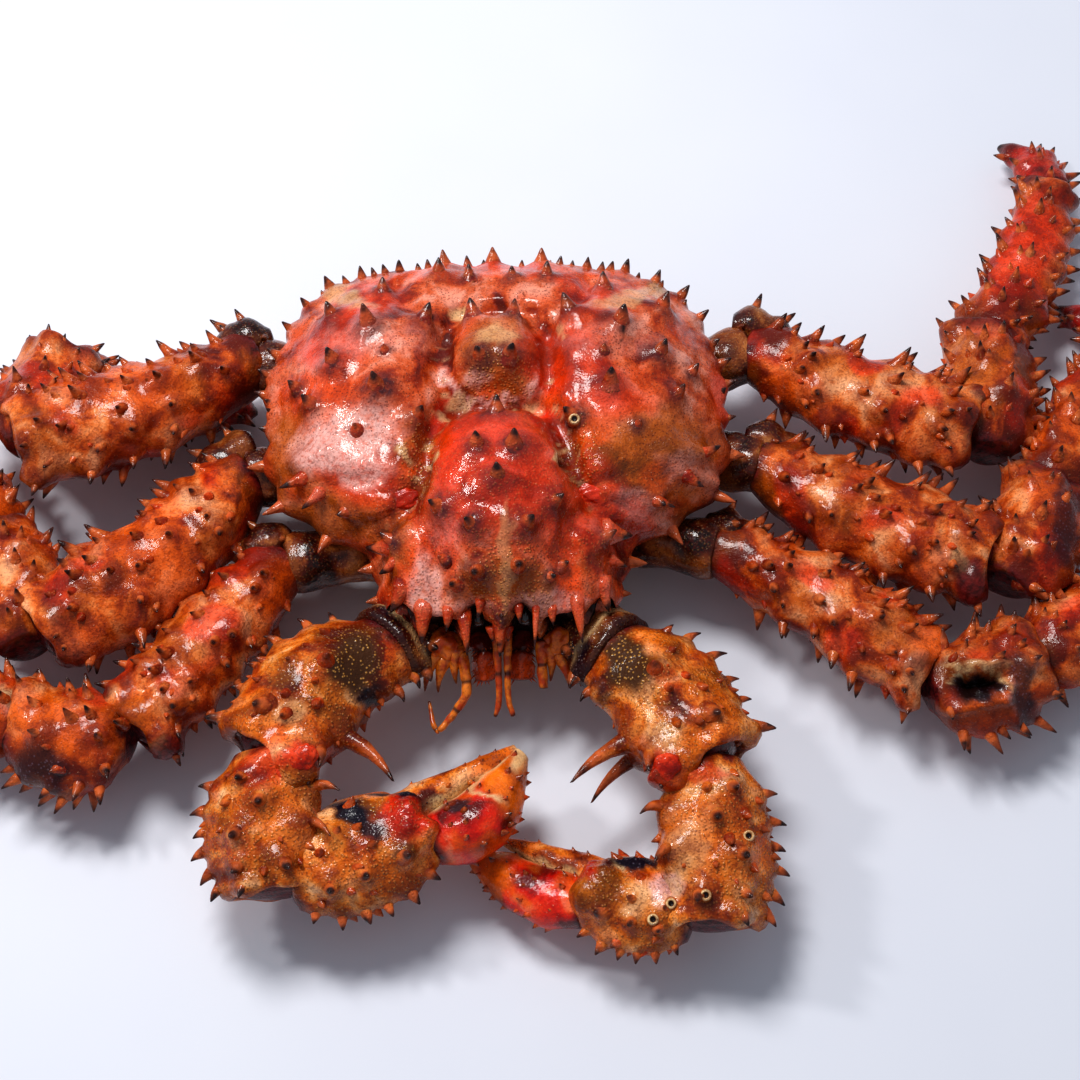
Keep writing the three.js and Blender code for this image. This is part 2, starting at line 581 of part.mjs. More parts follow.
function flapShell(extra = 0) {
  const rings = FLAP_STATIONS.map(([y, width]) =>
    FLAP_OUTLINE.map(([share, rise]) =>
      vector([share * (width + extra), y, rise * (FLAP_THICKNESS + 2 * extra) - extra]),
    ),
  );
  const [head, tail] = [FLAP_STATIONS[0][0], FLAP_STATIONS.at(-1)[0]];
  const middle = FLAP_THICKNESS / 2;
  return loft(vector([0, head - 0.5 - extra, middle]), rings, vector([0, tail + 0.5 + extra, middle]));
}

// ---------------------------------------------------------------- assembly

// Each piece: its bare solid, the same solid grown by the gap that its neighbours keep, its spines and shell.
const pieces = new Map();

function addPiece(name, make, { touches = [], spines = [], shell, twist = 0 }) {
  let bare = make(0).rotate([0, 0, twist]);
  for (const neighbour of touches) bare = bare.subtract(pieces.get(neighbour).grown);
  const grown = make(SEGMENT_GAP).rotate([0, 0, twist]);
  pieces.set(name, { bare: largestBody(bare), grown, spines, shell, twist });
}

// A piece of the body, which is twisted a little against the limbs.
const addBodyPiece = (name, make, options) => addPiece(name, make, { ...options, twist: BODY_TURN });

function addSegment(name, segment, { sides, rings, ...options }) {
  addPiece(name, (extra) => segment.shell(sides, rings, extra), options);
}

addBodyPiece("tail_flap", flapShell, { shell: "underside" });
addBodyPiece("thorax", thoraxShell, { touches: ["tail_flap"], shell: "underside" });
const tailBase = new Segment({ ...TAIL_BASE, profile: PROFILES.tailBase, crest: [0, 1, 0] });
addBodyPiece("tail_base", (extra) => tailBase.shell(SIDES.tail, RINGS.tail, extra), {
  touches: ["tail_flap", "thorax"],
  shell: "leg",
});

// The hip joint of a leg: its coxa with the lump of the ischium on the tail side of the merus's root.
function addHip(name, { coxa, hip, knee }, turn, seed) {
  const stem = new Segment({ from: coxa, to: hip, profile: PROFILES.coxa, turn });
  const merus = new Segment({ from: hip, to: knee, profile: PROFILES.merus, turn });
  const besideMerus = ({ along, beside }) => {
    const place = merus.from.clone().addScaledVector(merus.axis, along);
    return place.addScaledVector(merus.side, -turn * beside).toArray();
  };
  const [from, to] = [besideMerus(ISCHIUM_ROOT), besideMerus(ISCHIUM_END)];
  const lump = new Segment({ from, to, profile: PROFILES.ischium, turn });
  const hipSolid = (extra) => {
    const lumpSolid = lump.shell(SIDES.ischium, RINGS.ischium, extra);
    return stem.shell(SIDES.leg, RINGS.coxa, extra).add(lumpSolid);
  };
  const spines = lump.rowSpines(SPINE_ROWS.ischium, seed);
  addPiece(name, hipSolid, { touches: ["thorax"], spines, shell: "hip" });
}

Object.entries(LEGS).forEach(([leg, { coxa, hip, knee, fold, ankle, toe, tip, girth, bend }], number) => {
  const turn = leg.startsWith("left") ? 1 : -1;
  const name = (segment) => `leg_${leg}_${segment}`;
  const seed = 100 * (number + 1);
  addHip(name("coxa"), { coxa, hip, knee }, turn, seed);
  const foldedKnee = knee.map((value, axis) => value + fold[axis]);
  const hook = vector(tip).sub(vector(toe)).cross(vector([0, 0, DACTYL_HOOK * turn])).toArray();
  const chain = [
    ["merus", hip, knee, ["thorax", name("coxa")]],
    ["carpus", foldedKnee, ankle, [name("merus")]],
    ["propodus", ankle, toe, [name("carpus"), name("merus")]],
    ["dactyl", toe, tip, [name("propodus"), name("merus")]],
  ];
  chain.forEach(([part, from, to, touches], step) => {
    const bow = { dactyl: hook, ...bend }[part];
    const segment = new Segment({ from, to, profile: PROFILES[part], turn, bow, scale: girth[part] });
    const spines = segment.rowSpines(SPINE_ROWS[part], seed + 31 * (step + 1));
    const shell = part === "dactyl" ? "toe" : "leg";
    addSegment(name(part), segment, { sides: SIDES.leg, rings: RINGS[part], touches, spines, shell });
  });
});

for (const [hand, joints] of Object.entries(CLAWS)) {
  const { coxa, hip, elbow, wrist, heel, hinge, pollex, thumb, girth, bend } = joints;
  const turn = hand === "left" ? 1 : -1;
  const name = (part) => `claw_${hand}_${part}`;
  const segmentOf = (from, to, profile, scale = 1, bow = [0, 0, 0]) =>
    new Segment({ from, to, profile: PROFILES[profile], turn, scale, bow });
  const sized = (segment, spines, scale) =>
    spines.map(([share, angle, height, radius, lean, bow]) =>
      segment.spine(share, angle, height * scale, radius * scale, lean, bow * scale),
    );

  const root = segmentOf(coxa, hip, "clawCoxa");
  addSegment(name("coxa"), root, {
    sides: SIDES.claw,
    rings: RINGS.clawCoxa,
    touches: ["thorax", `leg_${hand}_1_coxa`],
    spines: sized(root, CLAW_SPINES.coxa, 1),
    shell: "hip",
  });

  const merus = segmentOf(hip, elbow, "clawMerus", girth.merus, bend.merus);
  addSegment(name("merus"), merus, {
    sides: SIDES.claw,
    rings: RINGS.claw,
    touches: [name("coxa")],
    spines: [...sized(merus, CLAW_SPINES.merus, girth.merus), ...sized(merus, REACHING_SPINES[hand], 1)],
    shell: "claw",
  });

  const carpus = segmentOf(elbow, wrist, "clawCarpus", girth.carpus, bend.carpus);
  addSegment(name("carpus"), carpus, {
    sides: SIDES.claw,
    rings: RINGS.claw,
    touches: [name("merus")],
    spines: sized(carpus, CLAW_SPINES.carpus, girth.carpus),
    shell: "claw",
  });

  const palm = segmentOf(heel, hinge, "palm", girth.palm);
  const across = (offset) => palm.side.clone().multiplyScalar(turn * offset * girth.palm);
  const pollexRoot = palm.centre(0.85).add(across(POLLEX_OFFSET));
  const fixedFinger = segmentOf(pollexRoot, pollex, "pollex", girth.finger);
  const palmSolid = (extra) => {
    const fingerSolid = fixedFinger.shell(SIDES.pollex, RINGS.finger, extra);
    return palm.shell(SIDES.claw, RINGS.palm, extra).add(fingerSolid);
  };
  addPiece(name("palm"), palmSolid, {
    touches: [name("carpus")],
    spines: sized(palm, CLAW_SPINES.palm, girth.palm),
    shell: "claw",
  });

  const thumbRoot = palm.centre(1).sub(across(THUMB_OFFSET));
  const movingFinger = segmentOf(thumbRoot, thumb, "thumb", girth.finger, bend.thumb);
  addSegment(name("thumb"), movingFinger, {
    sides: SIDES.finger,
    rings: RINGS.palm,
    touches: [name("palm")],
    shell: "finger",
  });
}

// The carapace rests over the roots of the limbs; the eyes sit in hollows under its brow.
const BODY_SIDES = { left: 1, right: -1 };
const onSide = ([x, y, z], side) => [side * x, y, z];
for (const [name, side] of Object.entries(BODY_SIDES)) {
  const centre = onSide(EYE.centre, side);
  addBodyPiece(`eye_${name}`, (extra) => ellipsoid(centre, EYE.radii, extra), { shell: "eye" });
}
const orbits = [1, -1].map((side) => ellipsoid(onSide(ORBIT.centre, side), ORBIT.radii));
const hollowCarapace = () => carapaceShell().subtract(orbits[0]).subtract(orbits[1]);
const limbRoots = [...pieces.keys()].filter((name) => name.endsWith("_coxa") || name.endsWith("_merus"));
addBodyPiece("carapace", (extra) => (extra ? carapaceShell(extra) : hollowCarapace()), {
  touches: [...limbRoots, "tail_base", "eye_left", "eye_right"],
  spines: carapaceSpines(),
  shell: "carapace",
});

for (const [name, side] of Object.entries(BODY_SIDES)) {
  const behind = ["carapace", "thorax", `claw_${name}_coxa`];
  const mirrored = (shape) => ({ ...shape, path: shape.path.map((point) => onSide(point, side)) });
  addBodyPiece(`mouthpart_${name}`, (extra) => feeler(mirrored(MOUTHPART), extra), {
    touches: behind,
    shell: "mouth",
  });
  addBodyPiece(`antennule_${name}`, (extra) => feeler(mirrored(ANTENNULE), extra), {
    touches: [...behind, `mouthpart_${name}`],
    shell: "feeler",
  });
  const antennaSolid = (extra) => {
    const lump = ellipsoid(onSide(ANTENNA_LUMP.centre, side), ANTENNA_LUMP.radii, extra);
    return feeler(mirrored(ANTENNAE[name]), extra).add(lump);
  };
  addBodyPiece(`antenna_${name}`, antennaSolid, {
    touches: [...behind, `mouthpart_${name}`, `antennule_${name}`],
    spines: ANTENNA_SPINES.map(([root, tip]) => spineBetween(onSide(root, side), onSide(tip, side))),
    shell: "feeler",
  });
}

// ---------------------------------------------------------------- spines and meshes

function overlaps(solid, other) {
  const [box, otherBox] = [solid.boundingBox(), other.boundingBox()];
  const apart = [0, 1, 2].some((i) => otherBox.min[i] > box.max[i] || otherBox.max[i] < box.min[i]);
  return !apart && solid.intersect(other).volume() > 0;
}

// A spine is left out where it has no root, would reach the floor, or would touch another piece.
const finished = new Map([...pieces].map(([name, piece]) => [name, piece.bare]));
for (const [name, { bare, spines, twist }] of pieces) {
  const others = [...finished].filter(([other]) => other !== name).map(([, solid]) => solid);
  const fitting = spines
    .map((spine) => spineSolid(spine).rotate([0, 0, twist]))
    .filter((solid) => overlaps(solid, bare) && solid.boundingBox().min[2] > FLOOR_CLEARANCE)
    .filter((solid) => !others.some((other) => overlaps(solid, other)));
  finished.set(name, fitting.reduce((whole, solid) => whole.add(solid), bare));
}

const crab = new THREE.Group();
for (const [name, solid] of finished) {
  const [color, roughness] = SHELLS[pieces.get(name).shell];
  const material = new THREE.MeshStandardMaterial({ color, roughness, metalness: 0 });
  const mesh = new THREE.Mesh(geometryFrom(solid), material);
  mesh.name = name;
  crab.add(mesh);
}

const footprint = new THREE.Box3().setFromObject(crab);
const centre = footprint.getCenter(new THREE.Vector3());
crab.position.set(-centre.x, -centre.y, -footprint.min.z);

export default crab;
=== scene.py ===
"""Looks of a whole cooked king crab: a dense skin, with real spines, over each of its shell segments.

Sizes are millimetres in the crab's own layout and repeat the driving dimensions of the solids: +X is the
crab's left, +Y its tail, +Z up, and x = y = 0 the middle of the carapace. `Skin.build` turns them into the
frame's metres.
"""

import math

import bpy
import numpy as np
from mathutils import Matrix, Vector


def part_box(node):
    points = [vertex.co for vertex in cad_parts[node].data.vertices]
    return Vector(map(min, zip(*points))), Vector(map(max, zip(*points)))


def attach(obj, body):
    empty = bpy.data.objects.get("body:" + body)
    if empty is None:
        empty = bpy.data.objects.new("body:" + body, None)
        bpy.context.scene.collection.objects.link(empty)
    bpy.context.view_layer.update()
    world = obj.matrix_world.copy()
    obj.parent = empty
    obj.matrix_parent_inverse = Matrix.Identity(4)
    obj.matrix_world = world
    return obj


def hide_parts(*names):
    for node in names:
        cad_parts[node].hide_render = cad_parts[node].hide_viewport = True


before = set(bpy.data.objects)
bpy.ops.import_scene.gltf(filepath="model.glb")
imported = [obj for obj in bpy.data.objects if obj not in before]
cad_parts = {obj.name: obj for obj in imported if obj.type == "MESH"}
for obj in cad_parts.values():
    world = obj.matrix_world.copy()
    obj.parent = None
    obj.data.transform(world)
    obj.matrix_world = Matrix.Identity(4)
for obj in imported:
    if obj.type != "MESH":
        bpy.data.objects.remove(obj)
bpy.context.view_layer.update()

# ---------------------------------------------------------------- body dimensions

CARAPACE_HALF_WIDTH = 90
CARAPACE_FLOOR = 31
THORAX_ROOF = 30.6
FLAP_THICKNESS = 6
BODY_TURN = math.radians(1.7)  # twist of the body against its limbs
SPINE_WIDTH = 0.22  # base radius of a leg's spine as a share of its height
ROW_LEAN = 0.45  # how far the spines of a leg lean towards its toe
DACTYL_HOOK = 0.14  # sagitta of a toe, as a share of its length
ISCHIUM_ROOT = (-9, 8)  # along the merus from its root, and beside it
ISCHIUM_END = (12, 12)
POLLEX_OFFSET = 9  # the fixed finger starts this far from the palm's middle line
THUMB_OFFSET = 6  # and the moving finger this far on the other side

# Carapace stations from the snout to the tail: [y, half width share, crown height, margin height].
CARAPACE_STATIONS = [
    [-92, 0.3, 53, 44], [-87, 0.41, 61, 43], [-78, 0.48, 70, 42], [-66, 0.51, 76, 42], [-54, 0.54, 79, 42],
    [-44, 0.68, 80, 43], [-34, 0.86, 80, 44], [-18, 0.97, 79, 45], [2, 1.0, 78, 46], [22, 1.0, 77, 47],
    [40, 0.95, 75, 48], [54, 0.88, 71, 49], [65, 0.77, 66, 49], [73, 0.61, 60, 48], [78, 0.36, 53, 46],
]

# The carapace's skin below its margin: [share of the way round, share of the width, share of the drop].
CARAPACE_UNDERSIDE = [[0, 1, 0], [0.08, 0.97, 0.4], [0.2, 0.88, 0.8], [0.35, 0.45, 1], [0.5, 0, 1]]

# Swellings of the carapace: [x, y, half length across, half length along, height]; x > 0 come in pairs.
SWELLINGS = [
    [0, -42, 30, 35, 9.5], [0, -73, 20, 16, 4], [0, 20, 19, 20, 8], [52, 16, 36, 40, 6], [36, -66, 11, 20, 3],
    [74, -24, 16, 12, 4],
]

# Grooves between the regions of the carapace: depth, half width and path on the +X half.
GROOVES = [
    (6, 5, [[0, -4], [14, -3], [23, -10], [27, -23], [30, -36], [35, -46], [45, -55]]),
    (4.5, 5, [[16, -3], [22, 7], [22, 24], [14, 41], [0, 43]]),
    (3, 4, [[21, 30], [34, 46], [40, 62]]),
    (3, 4, [[34, -42], [50, -36], [66, -34]]),
    (2.5, 4, [[33, -50], [26, -62], [24, -82]]),
]

# Carapace spines on the +X half, [x, y, height]; those with x > 0 are mirrored.
CROWN_SPINES = [
    [0, -87, 4.5], [0, -48, 7.5], [0, -15, 7.5],
    [7, -77, 6], [8, -65, 6.5], [6.5, -34, 6.5], [19.5, -54, 6.2], [17.5, -79, 4], [22, -72, 3.5],
    [38.5, -60, 5.5], [59, -42, 5.5], [55, -16, 3.5], [30, -13, 6.5], [46, 0, 8], [71, -1, 7], [78, 12, 5.5],
    [5, 11, 6.5], [7, 35, 7], [44, 17, 3], [64, 17, 7], [30, 35, 7.5], [49, 30, 8.5], [66, 43, 7.5],
    [9, 61, 5.5], [22, 63, 6.5], [44, 56, 5.5],
]
TALL_SPINE = 6  # spines of this height and more come first in the count that their jitter follows

# Spines along the +X margin of the carapace, [y, height, rise], rise being how far they point up.
MARGIN_SPINES = [
    [-84, 9, -0.2], [-72, 8, 0.1], [-58, 12, 0.2], [-41, 14, 0.1], [-28, 14, 0.2], [-12, 11, 0.2],
    [4, 7, 0.4], [19, 9, 0.5], [28, 9.5, 0.6], [37, 9.5, 0.7], [49, 10, 0.8], [59, 9.5, 0.9],
    [67, 10, 1], [73, 9.5, 1.1], [76.5, 9, 1.2],
]

# Spines of the brow's sides and the back edge, on the +X half: [x, y, z, direction, height, radius].
EDGE_SPINES = [
    [38, -80, 46, [0.9, -1, 0.1], 8, 3],
    [0, 79, 52, [0, 1, 1], 9, 3.4],
    [20, 78, 52, [0.1, 1, 1], 9, 3.2],
]

BROW_ARCHES = [(8, 5), (23, 6.5), (38, 4.5)]  # hollows under the brow: place to each side, and half width
BROW_DEPTH = 9
REAR_STEP = 5.6  # spacing of the small spines between the large ones of the rear edge
REAR_END = 79  # how far back that edge goes

THORAX_STATIONS = [
    [-84, 12, 19], [-76, 22, 11], [-60, 38, 5], [-30, 52, 4], [10, 56, 4], [40, 46, 5], [58, 24, 9],
]
FLAP_STATIONS = [[-52, 12], [-44, 24], [-25, 36], [5, 42], [35, 40], [56, 30]]
TAIL_BASE = {"start": [0, 74, 40], "end": [0, 62, 10]}

# Face pieces on the +X half. Only the right antenna still has its whip.
ORBIT = ([9, -90, 50], [4, 8.5, 8])
EYE = ([9, -83, 48], [3.8, 4.6, 4.4])
BRISTLES = 60  # on each mouthpart
MOUTHPART = [[8, -82, 31], [7, -92, 33], [7, -100, 27]]
ANTENNULE = [[2.4, -88, 44], [1.8, -104, 37], [2, -112, 32], [3.4, -117, 29]]
ANTENNA_LUMP = ([23, -90, 38], [7, 6, 6])
ANTENNA_SPINES = [
    [[26, -94, 36], [30.5, -105, 28]], [[22, -95, 35], [25.5, -106, 28]], [[18, -93, 37], [18, -103, 30]],
]
ANTENNAE = {  # path, thickness at its root and its tip, number of joints
    "left": ([[15, -90, 39], [15, -97, 36], [15.5, -106, 30]], 2.6, 1.8, 2),
    "right": (
        [[16, -93, 37], [14, -106, 32], [15.5, -110, 30], [21, -116, 26], [26, -120, 24], [29, -108, 25]],
        2.6, 0.7, 4,
    ),
}

# ---------------------------------------------------------------- limb dimensions

LEGS = {
    "left_1": dict(
        coxa=[50, -34, 25], hip=[87, -45, 31], knee=[166, -99, 28],
        ankle=[209, -91, 25], toe=[280, -45, 17], tip=[300, 4, 7], fold=[2, -5, -1],
        girth=dict(merus=0.87, carpus=1, propodus=1.05),
        bend=dict(merus=[2, 5, 0], carpus=[0, -4, 0]),
    ),
    "left_2": dict(
        coxa=[60, 7, 26], hip=[106, -7, 34], knee=[193, -51, 33],
        ankle=[223, -13, 27], toe=[264, 60, 18], tip=[243, 89, 9], fold=[7, -7, -3],
        girth=dict(merus=1.02, carpus=1, propodus=0.95),
        bend=dict(merus=[0, -4, 0], carpus=[2, -5, 0]),
    ),
    "left_3": dict(
        coxa=[58, 34, 27], hip=[104, 47, 36], knee=[192, 9, 36],
        ankle=[205, 60, 27], toe=[242, 145, 19], tip=[227, 178, 11], fold=[8, -8, -3],
        girth=dict(merus=1, carpus=1, propodus=0.95),
        bend=dict(merus=[0, -4, 0], carpus=[0, -3, 0], propodus=[5, -1, 0]),
    ),
    "right_1": dict(
        coxa=[-48, -42, 25], hip=[-83, -51, 31], knee=[-137, -121, 28],
        ankle=[-181, -117, 25], toe=[-254, -95, 17], tip=[-284, -61, 7], fold=[-3, -4, -1],
        girth=dict(merus=0.88, carpus=1.02, propodus=1.05),
        bend=dict(merus=[-1, 1, 0], carpus=[0, -6, 0]),
    ),
    "right_2": dict(
        coxa=[-58, -6, 26], hip=[-101, -13, 34], knee=[-176, -83, 34],
        ankle=[-202, -38, 27], toe=[-247, 38, 18], tip=[-242, 84, 8], fold=[-6, -5, -2],
        girth=dict(merus=1.1, carpus=1.02, propodus=1),
        bend=dict(merus=[5, -4, 0], carpus=[2, 0, 0]),
    ),
    "right_3": dict(
        coxa=[-57, 30, 27], hip=[-100, 40, 38], knee=[-191, -3, 44],
        ankle=[-182, 44, 31], toe=[-127, 31, 12], tip=[-104, 38, 6], fold=[0, 2, -4],
        girth=dict(merus=1.06, carpus=0.95, propodus=0.85),
        bend=dict(merus=[0, -4, 0], carpus=[-2, 0, 0], propodus=[0, -8, -4]),
    ),
}

CLAWS = {
    "left": dict(
        coxa=[25, -73, 29], hip=[47, -93, 37], elbow=[80, -141, 40], wrist=[80, -199, 27],
        heel=[72, -195, 25], hinge=[36, -187, 22], pollex=[3, -162, 14], thumb=[-9, -166, 12],
        girth=dict(merus=1, carpus=0.95, palm=0.82, finger=0.85),
        bend=dict(merus=[2, 2, 0], carpus=[1.5, 0, 0], thumb=[-1, -3, 0]),
    ),
    "right": dict(
        coxa=[-25, -73, 29], hip=[-43, -91, 37], elbow=[-85, -139, 40], wrist=[-80, -187, 29],
        heel=[-74, -182, 28], hinge=[-27, -165, 31], pollex=[8, -132, 31], thumb=[10, -135, 33],
        girth=dict(merus=1, carpus=0.97, palm=1, finger=1),
        bend=dict(merus=[-5, 4, 0], carpus=[-2.5, 0, 0], thumb=[4, -7, 1]),
    ),
}

# Profiles along a segment: [share of the length, half width, half height].
PROFILES = {
    "coxa": [[0, 12, 11], [0.5, 11, 10.5], [0.85, 12.5, 12], [1, 11.5, 11]],
    "ischium": [[0, 5, 7], [0.45, 7.5, 9], [1, 4, 5]],
    "merus": [[0, 10.5, 10.5], [0.12, 13.5, 13], [0.4, 16.5, 15.5], [0.8, 18, 16], [1, 15, 13]],
    "carpus": [[0, 9.5, 9.5], [0.22, 15.5, 14.5], [0.6, 17.5, 16], [0.9, 15.5, 14.5], [1, 12.5, 12]],
    "propodus": [[0, 10.5, 10], [0.12, 14, 13], [0.5, 14, 12.5], [0.88, 11.5, 10.5], [1, 9, 8.5]],
    "dactyl": [[0, 8, 7], [0.15, 9.5, 7.5], [0.55, 7.4, 6], [0.85, 4.6, 4], [1, 1.8, 1.6]],
    "claw_coxa": [[0, 14, 12], [0.5, 15, 13], [1, 17, 15]],
    "claw_merus": [[0, 14, 13], [0.25, 19, 17], [0.7, 21, 18], [1, 17.5, 15]],
    "claw_carpus": [[0, 13, 12], [0.25, 18, 16], [0.65, 21, 18], [1, 18, 16]],
    "claw_palm": [[0, 13, 13], [0.3, 20, 17], [0.75, 20, 16], [1, 14, 12]],
    "claw_pollex": [[0, 9, 9], [0.35, 6.5, 7], [0.7, 4.5, 5], [1, 2, 2]],
    "claw_thumb": [[0, 10, 10], [0.3, 13, 11], [0.7, 10, 8.5], [1, 3.5, 3.5]],
    "tail_base": [[0, 24, 5], [0.5, 30, 6], [1, 30, 5]],
}

# Rows of spines along a segment: [angle from the crest, first share, last share, count, height].
# Positive angles lie towards the crab's head.
SPINE_ROWS = {
    "ischium": [[-70, 0.25, 0.8, 2, 7.5]],
    "merus": [
        [-76, 0.1, 0.92, 6, 8.5], [-36, 0.2, 0.82, 4, 5.5], [2, 0.3, 0.88, 2, 6],
        [40, 0.36, 0.92, 3, 6.5], [84, 0.42, 0.96, 4, 8.5], [150, 0.3, 0.85, 3, 5],
    ],
    "carpus": [
        [-80, 0.2, 0.92, 3, 8], [-30, 0.35, 0.85, 2, 5.5], [14, 0.3, 0.85, 2, 6.5],
        [60, 0.2, 0.95, 2, 8], [92, 0.2, 0.95, 5, 9.5],
    ],
    "propodus": [
        [-84, 0.1, 0.9, 4, 6.5], [-30, 0.2, 0.8, 3, 5], [30, 0.12, 0.9, 2, 6],
        [84, 0.06, 0.94, 7, 8.5], [130, 0.2, 0.85, 3, 5.5],
    ],
    "dactyl": [[-60, 0.1, 0.5, 2, 5], [80, 0.1, 0.6, 2, 7]],
}

# Smaller spines between those of SPINE_ROWS, listed in the same way.
SMALL_ROWS = {
    "merus": [
        [-57, 0.12, 0.9, 6, 7.5], [-16, 0.28, 0.85, 4, 6], [20, 0.2, 0.8, 3, 5.5], [62, 0.35, 0.9, 3, 5.5],
        [112, 0.25, 0.95, 5, 6.5],
    ],
    "carpus": [
        [84, 0.12, 0.95, 6, 7.5], [112, 0.2, 0.9, 6, 7.5], [-58, 0.15, 0.9, 4, 7], [-8, 0.2, 0.9, 3, 5.5],
    ],
    "propodus": [
        [90, 0.12, 0.9, 8, 7.5], [112, 0.05, 0.95, 9, 7], [56, 0.1, 0.9, 6, 5.5], [-58, 0.1, 0.9, 7, 6.5],
        [-6, 0.1, 0.9, 5, 5],
    ],
    "dactyl": [[-76, 0.05, 0.75, 4, 6], [92, 0.15, 0.7, 4, 6.5], [10, 0.1, 0.6, 3, 4]],
}
SMALL_SWELL = 0.45  # how much of a mound stands under them
SMALL_SPACING = 4.5  # and how far they keep from the others

# Single spines of the claws: [share, angle, height, base radius, lean towards the tip, sideways bow].
# Positive angles lie towards the space between the claws.
CLAW_SPINES = {
    "coxa": [[0.85, 88, 8, 3, 0.4, 1], [0.6, 60, 6, 2.6, 0.4, 0]],
    "merus": [
        [0.06, 88, 9, 2.6, 0.1, 2], [0.2, 84, 9, 2.4, 0.1, 2], [0.8, 60, 14, 3.5, 0.7, 2],
        [0.95, 66, 10, 3.2, 0.6, 1], [0.42, 6, 9, 5.2, 0, 0], [0.85, -16, 8, 4, 0.3, 0],
        [0.12, -84, 7, 2.1, 0.1, 1], [0.26, -84, 9, 2.6, 0.1, 2], [0.44, -86, 10, 2.7, 0.2, 2],
        [0.6, -92, 8, 2.2, 0.2, 1], [0.76, -90, 7, 2.1, 0.2, 1], [0.97, -78, 12, 3.5, 0.3, 1],
    ],
    "carpus": [
        [0.24, -78, 8, 2.6, 0.1, 1], [0.4, -86, 9, 2.7, 0.2, 1], [0.55, -84, 7, 2.4, 0.3, 1],
        [0.68, -86, 9, 2.7, 0.3, 1], [0.82, -84, 9, 2.7, 0.5, 1], [0.94, -76, 9, 2.6, 0.7, 1],
        [0.96, -30, 9, 2.7, 1, 1], [0.2, -22, 8, 2.9, 0.5, 0], [0.38, 0, 9, 3.4, 0.5, 0],
        [0.34, 62, 15, 3.5, 0.3, 3], [0.58, 48, 16, 3.4, 0.6, 3], [0.62, -24, 9, 3.2, 0.3, 0],
        [0.84, -30, 8, 2.9, 0.4, 0], [0.86, 18, 9, 3, 0.4, 0],
    ],
    "palm": [
        [0.1, -82, 7, 2.4, 0, 0], [0.26, -86, 8, 2.6, 0.1, 0], [0.42, -86, 8, 2.7, 0.1, 0],
        [0.58, -86, 8, 2.7, 0.1, 0], [0.76, -84, 9, 2.9, 0.1, 0], [0.92, -80, 8, 2.7, 0.2, 0],
        [0.25, -44, 7, 3, 0.1, 0], [0.5, -40, 7, 3, 0.1, 0], [0.8, -36, 8, 4, 0.1, 0],
    ],
}

# The long spines on the inner side of each claw's merus, listed in the same way.
REACHING_SPINES = {
    "left": [[0.62, 84, 30, 5.6, 0.1, 2], [0.68, 108, 26, 4.6, 0.1, 2]],
    "right": [[0.62, 84, 29, 5.6, 0.2, 3]],
}

# Lobes of the shell beside a joint: [share of the length, angle, size, height].
LEG_LOBES = [[0.97, 70, 6, 2.2], [0.97, -60, 6, 2.0], [0.95, 10, 5, 1.6]]
CLAW_LOBES = {
    "merus": [[0.97, 40, 7, 3.5], [0.98, 75, 6, 3], [0.97, -30, 6, 2]],
    "carpus": [[0.1, 55, 7, 3], [0.08, 20, 6, 2.5], [0.97, 60, 6, 2]],
    "palm": [[0.95, -20, 7, 3], [0.93, 30, 6, 3], [0.9, 5, 5, 2]],
}

# The claw's segments between its root and its fingers: where each one starts and ends, and its tubercles.
CLAW_ENDS = {"merus": ("hip", "elbow"), "carpus": ("elbow", "wrist"), "palm": ("heel", "hinge")}
CLAW_TUBERCLES = {"merus": 26, "carpus": 26, "palm": 20}

# The dots of the claw's fingers, and the angle at which their biting edges lie.
FINGER_DOTS = {
    "pollex": dict(count=16, first=0.2, last=0.95, size=(0.5, 0.9), spacing=3.5),
    "thumb": dict(count=34, first=0.15, last=0.97, size=(0.5, 1.1), spacing=4),
}
BITING_EDGES = {"pollex": -75, "thumb": 95}

# ---------------------------------------------------------------- surface dimensions

CELL = 1.35  # size of a skin's faces on the limbs
CARAPACE_CELL = 1.15
FACE_CELL = 0.6  # on the small pieces of the face
SPINE_FACE = 1.3
MOUND_REACH = (0.58, 1.1)  # radius of the flare at a spine's foot: share of its height, and what is added
MOUND_RISE = (0.3, 0.46)  # height of the flare, as a share of the height of a low and a tall spine
LOW_SPINE = 4.5  # up to this height a spine is a mere tubercle
SPINE_GROWTH = 1.22  # the spines stand a little over those of the solids
SPINE_FLARE = 1.45  # widening of every spine's foot
STUMP_CORNERS = 18
CHIPS = 22  # around a broken hole
TUBERCLE_AREA = 64  # of a leg's segment for each tubercle: its length times its half width

# What can be painted on a skin; the materials give each of these marks its colour.
# Of these, the light pink mark also paints sheen and highlights, the darker brown one also paints shade in
# grooves, creases, low sides and at roots, and the black one paints shade in the orbits, under the brow and
# in holes, besides dark seams.
MARKS = (
    "tip", "spine", "halo", "joint", "red", "cream", "dark", "pale", "beads", "orange", "blue", "deep",
    "brown", "olive",
)

# ---------------------------------------------------------------- camera dimensions

CAMERA_TARGET = np.array([17.2, -39.5, 30.0])
CAMERA_ELEVATION = math.radians(60)
CAMERA_DISTANCE = 900
CAMERA_FIELD = math.radians(27)
CAMERA_RIGHT = np.array([1.0, 0, 0])
CAMERA_FORWARD = np.array([0, math.cos(CAMERA_ELEVATION), -math.sin(CAMERA_ELEVATION)])
CAMERA_UP = np.array([0, math.sin(CAMERA_ELEVATION), math.cos(CAMERA_ELEVATION)])
CAMERA_PLACE = CAMERA_TARGET - CAMERA_DISTANCE * CAMERA_FORWARD
PICTURE_MIDDLE = 540  # the camera's picture is a square of 1080 units
PICTURE_REACH = PICTURE_MIDDLE / math.tan(CAMERA_FIELD / 2)  # its distance from the camera, in the same units

# ---------------------------------------------------------------- places in the picture

# These tables place details where the camera sees them: x to the right and y down in the camera's picture,
# half widths and heights in the same units, tilts in degrees.

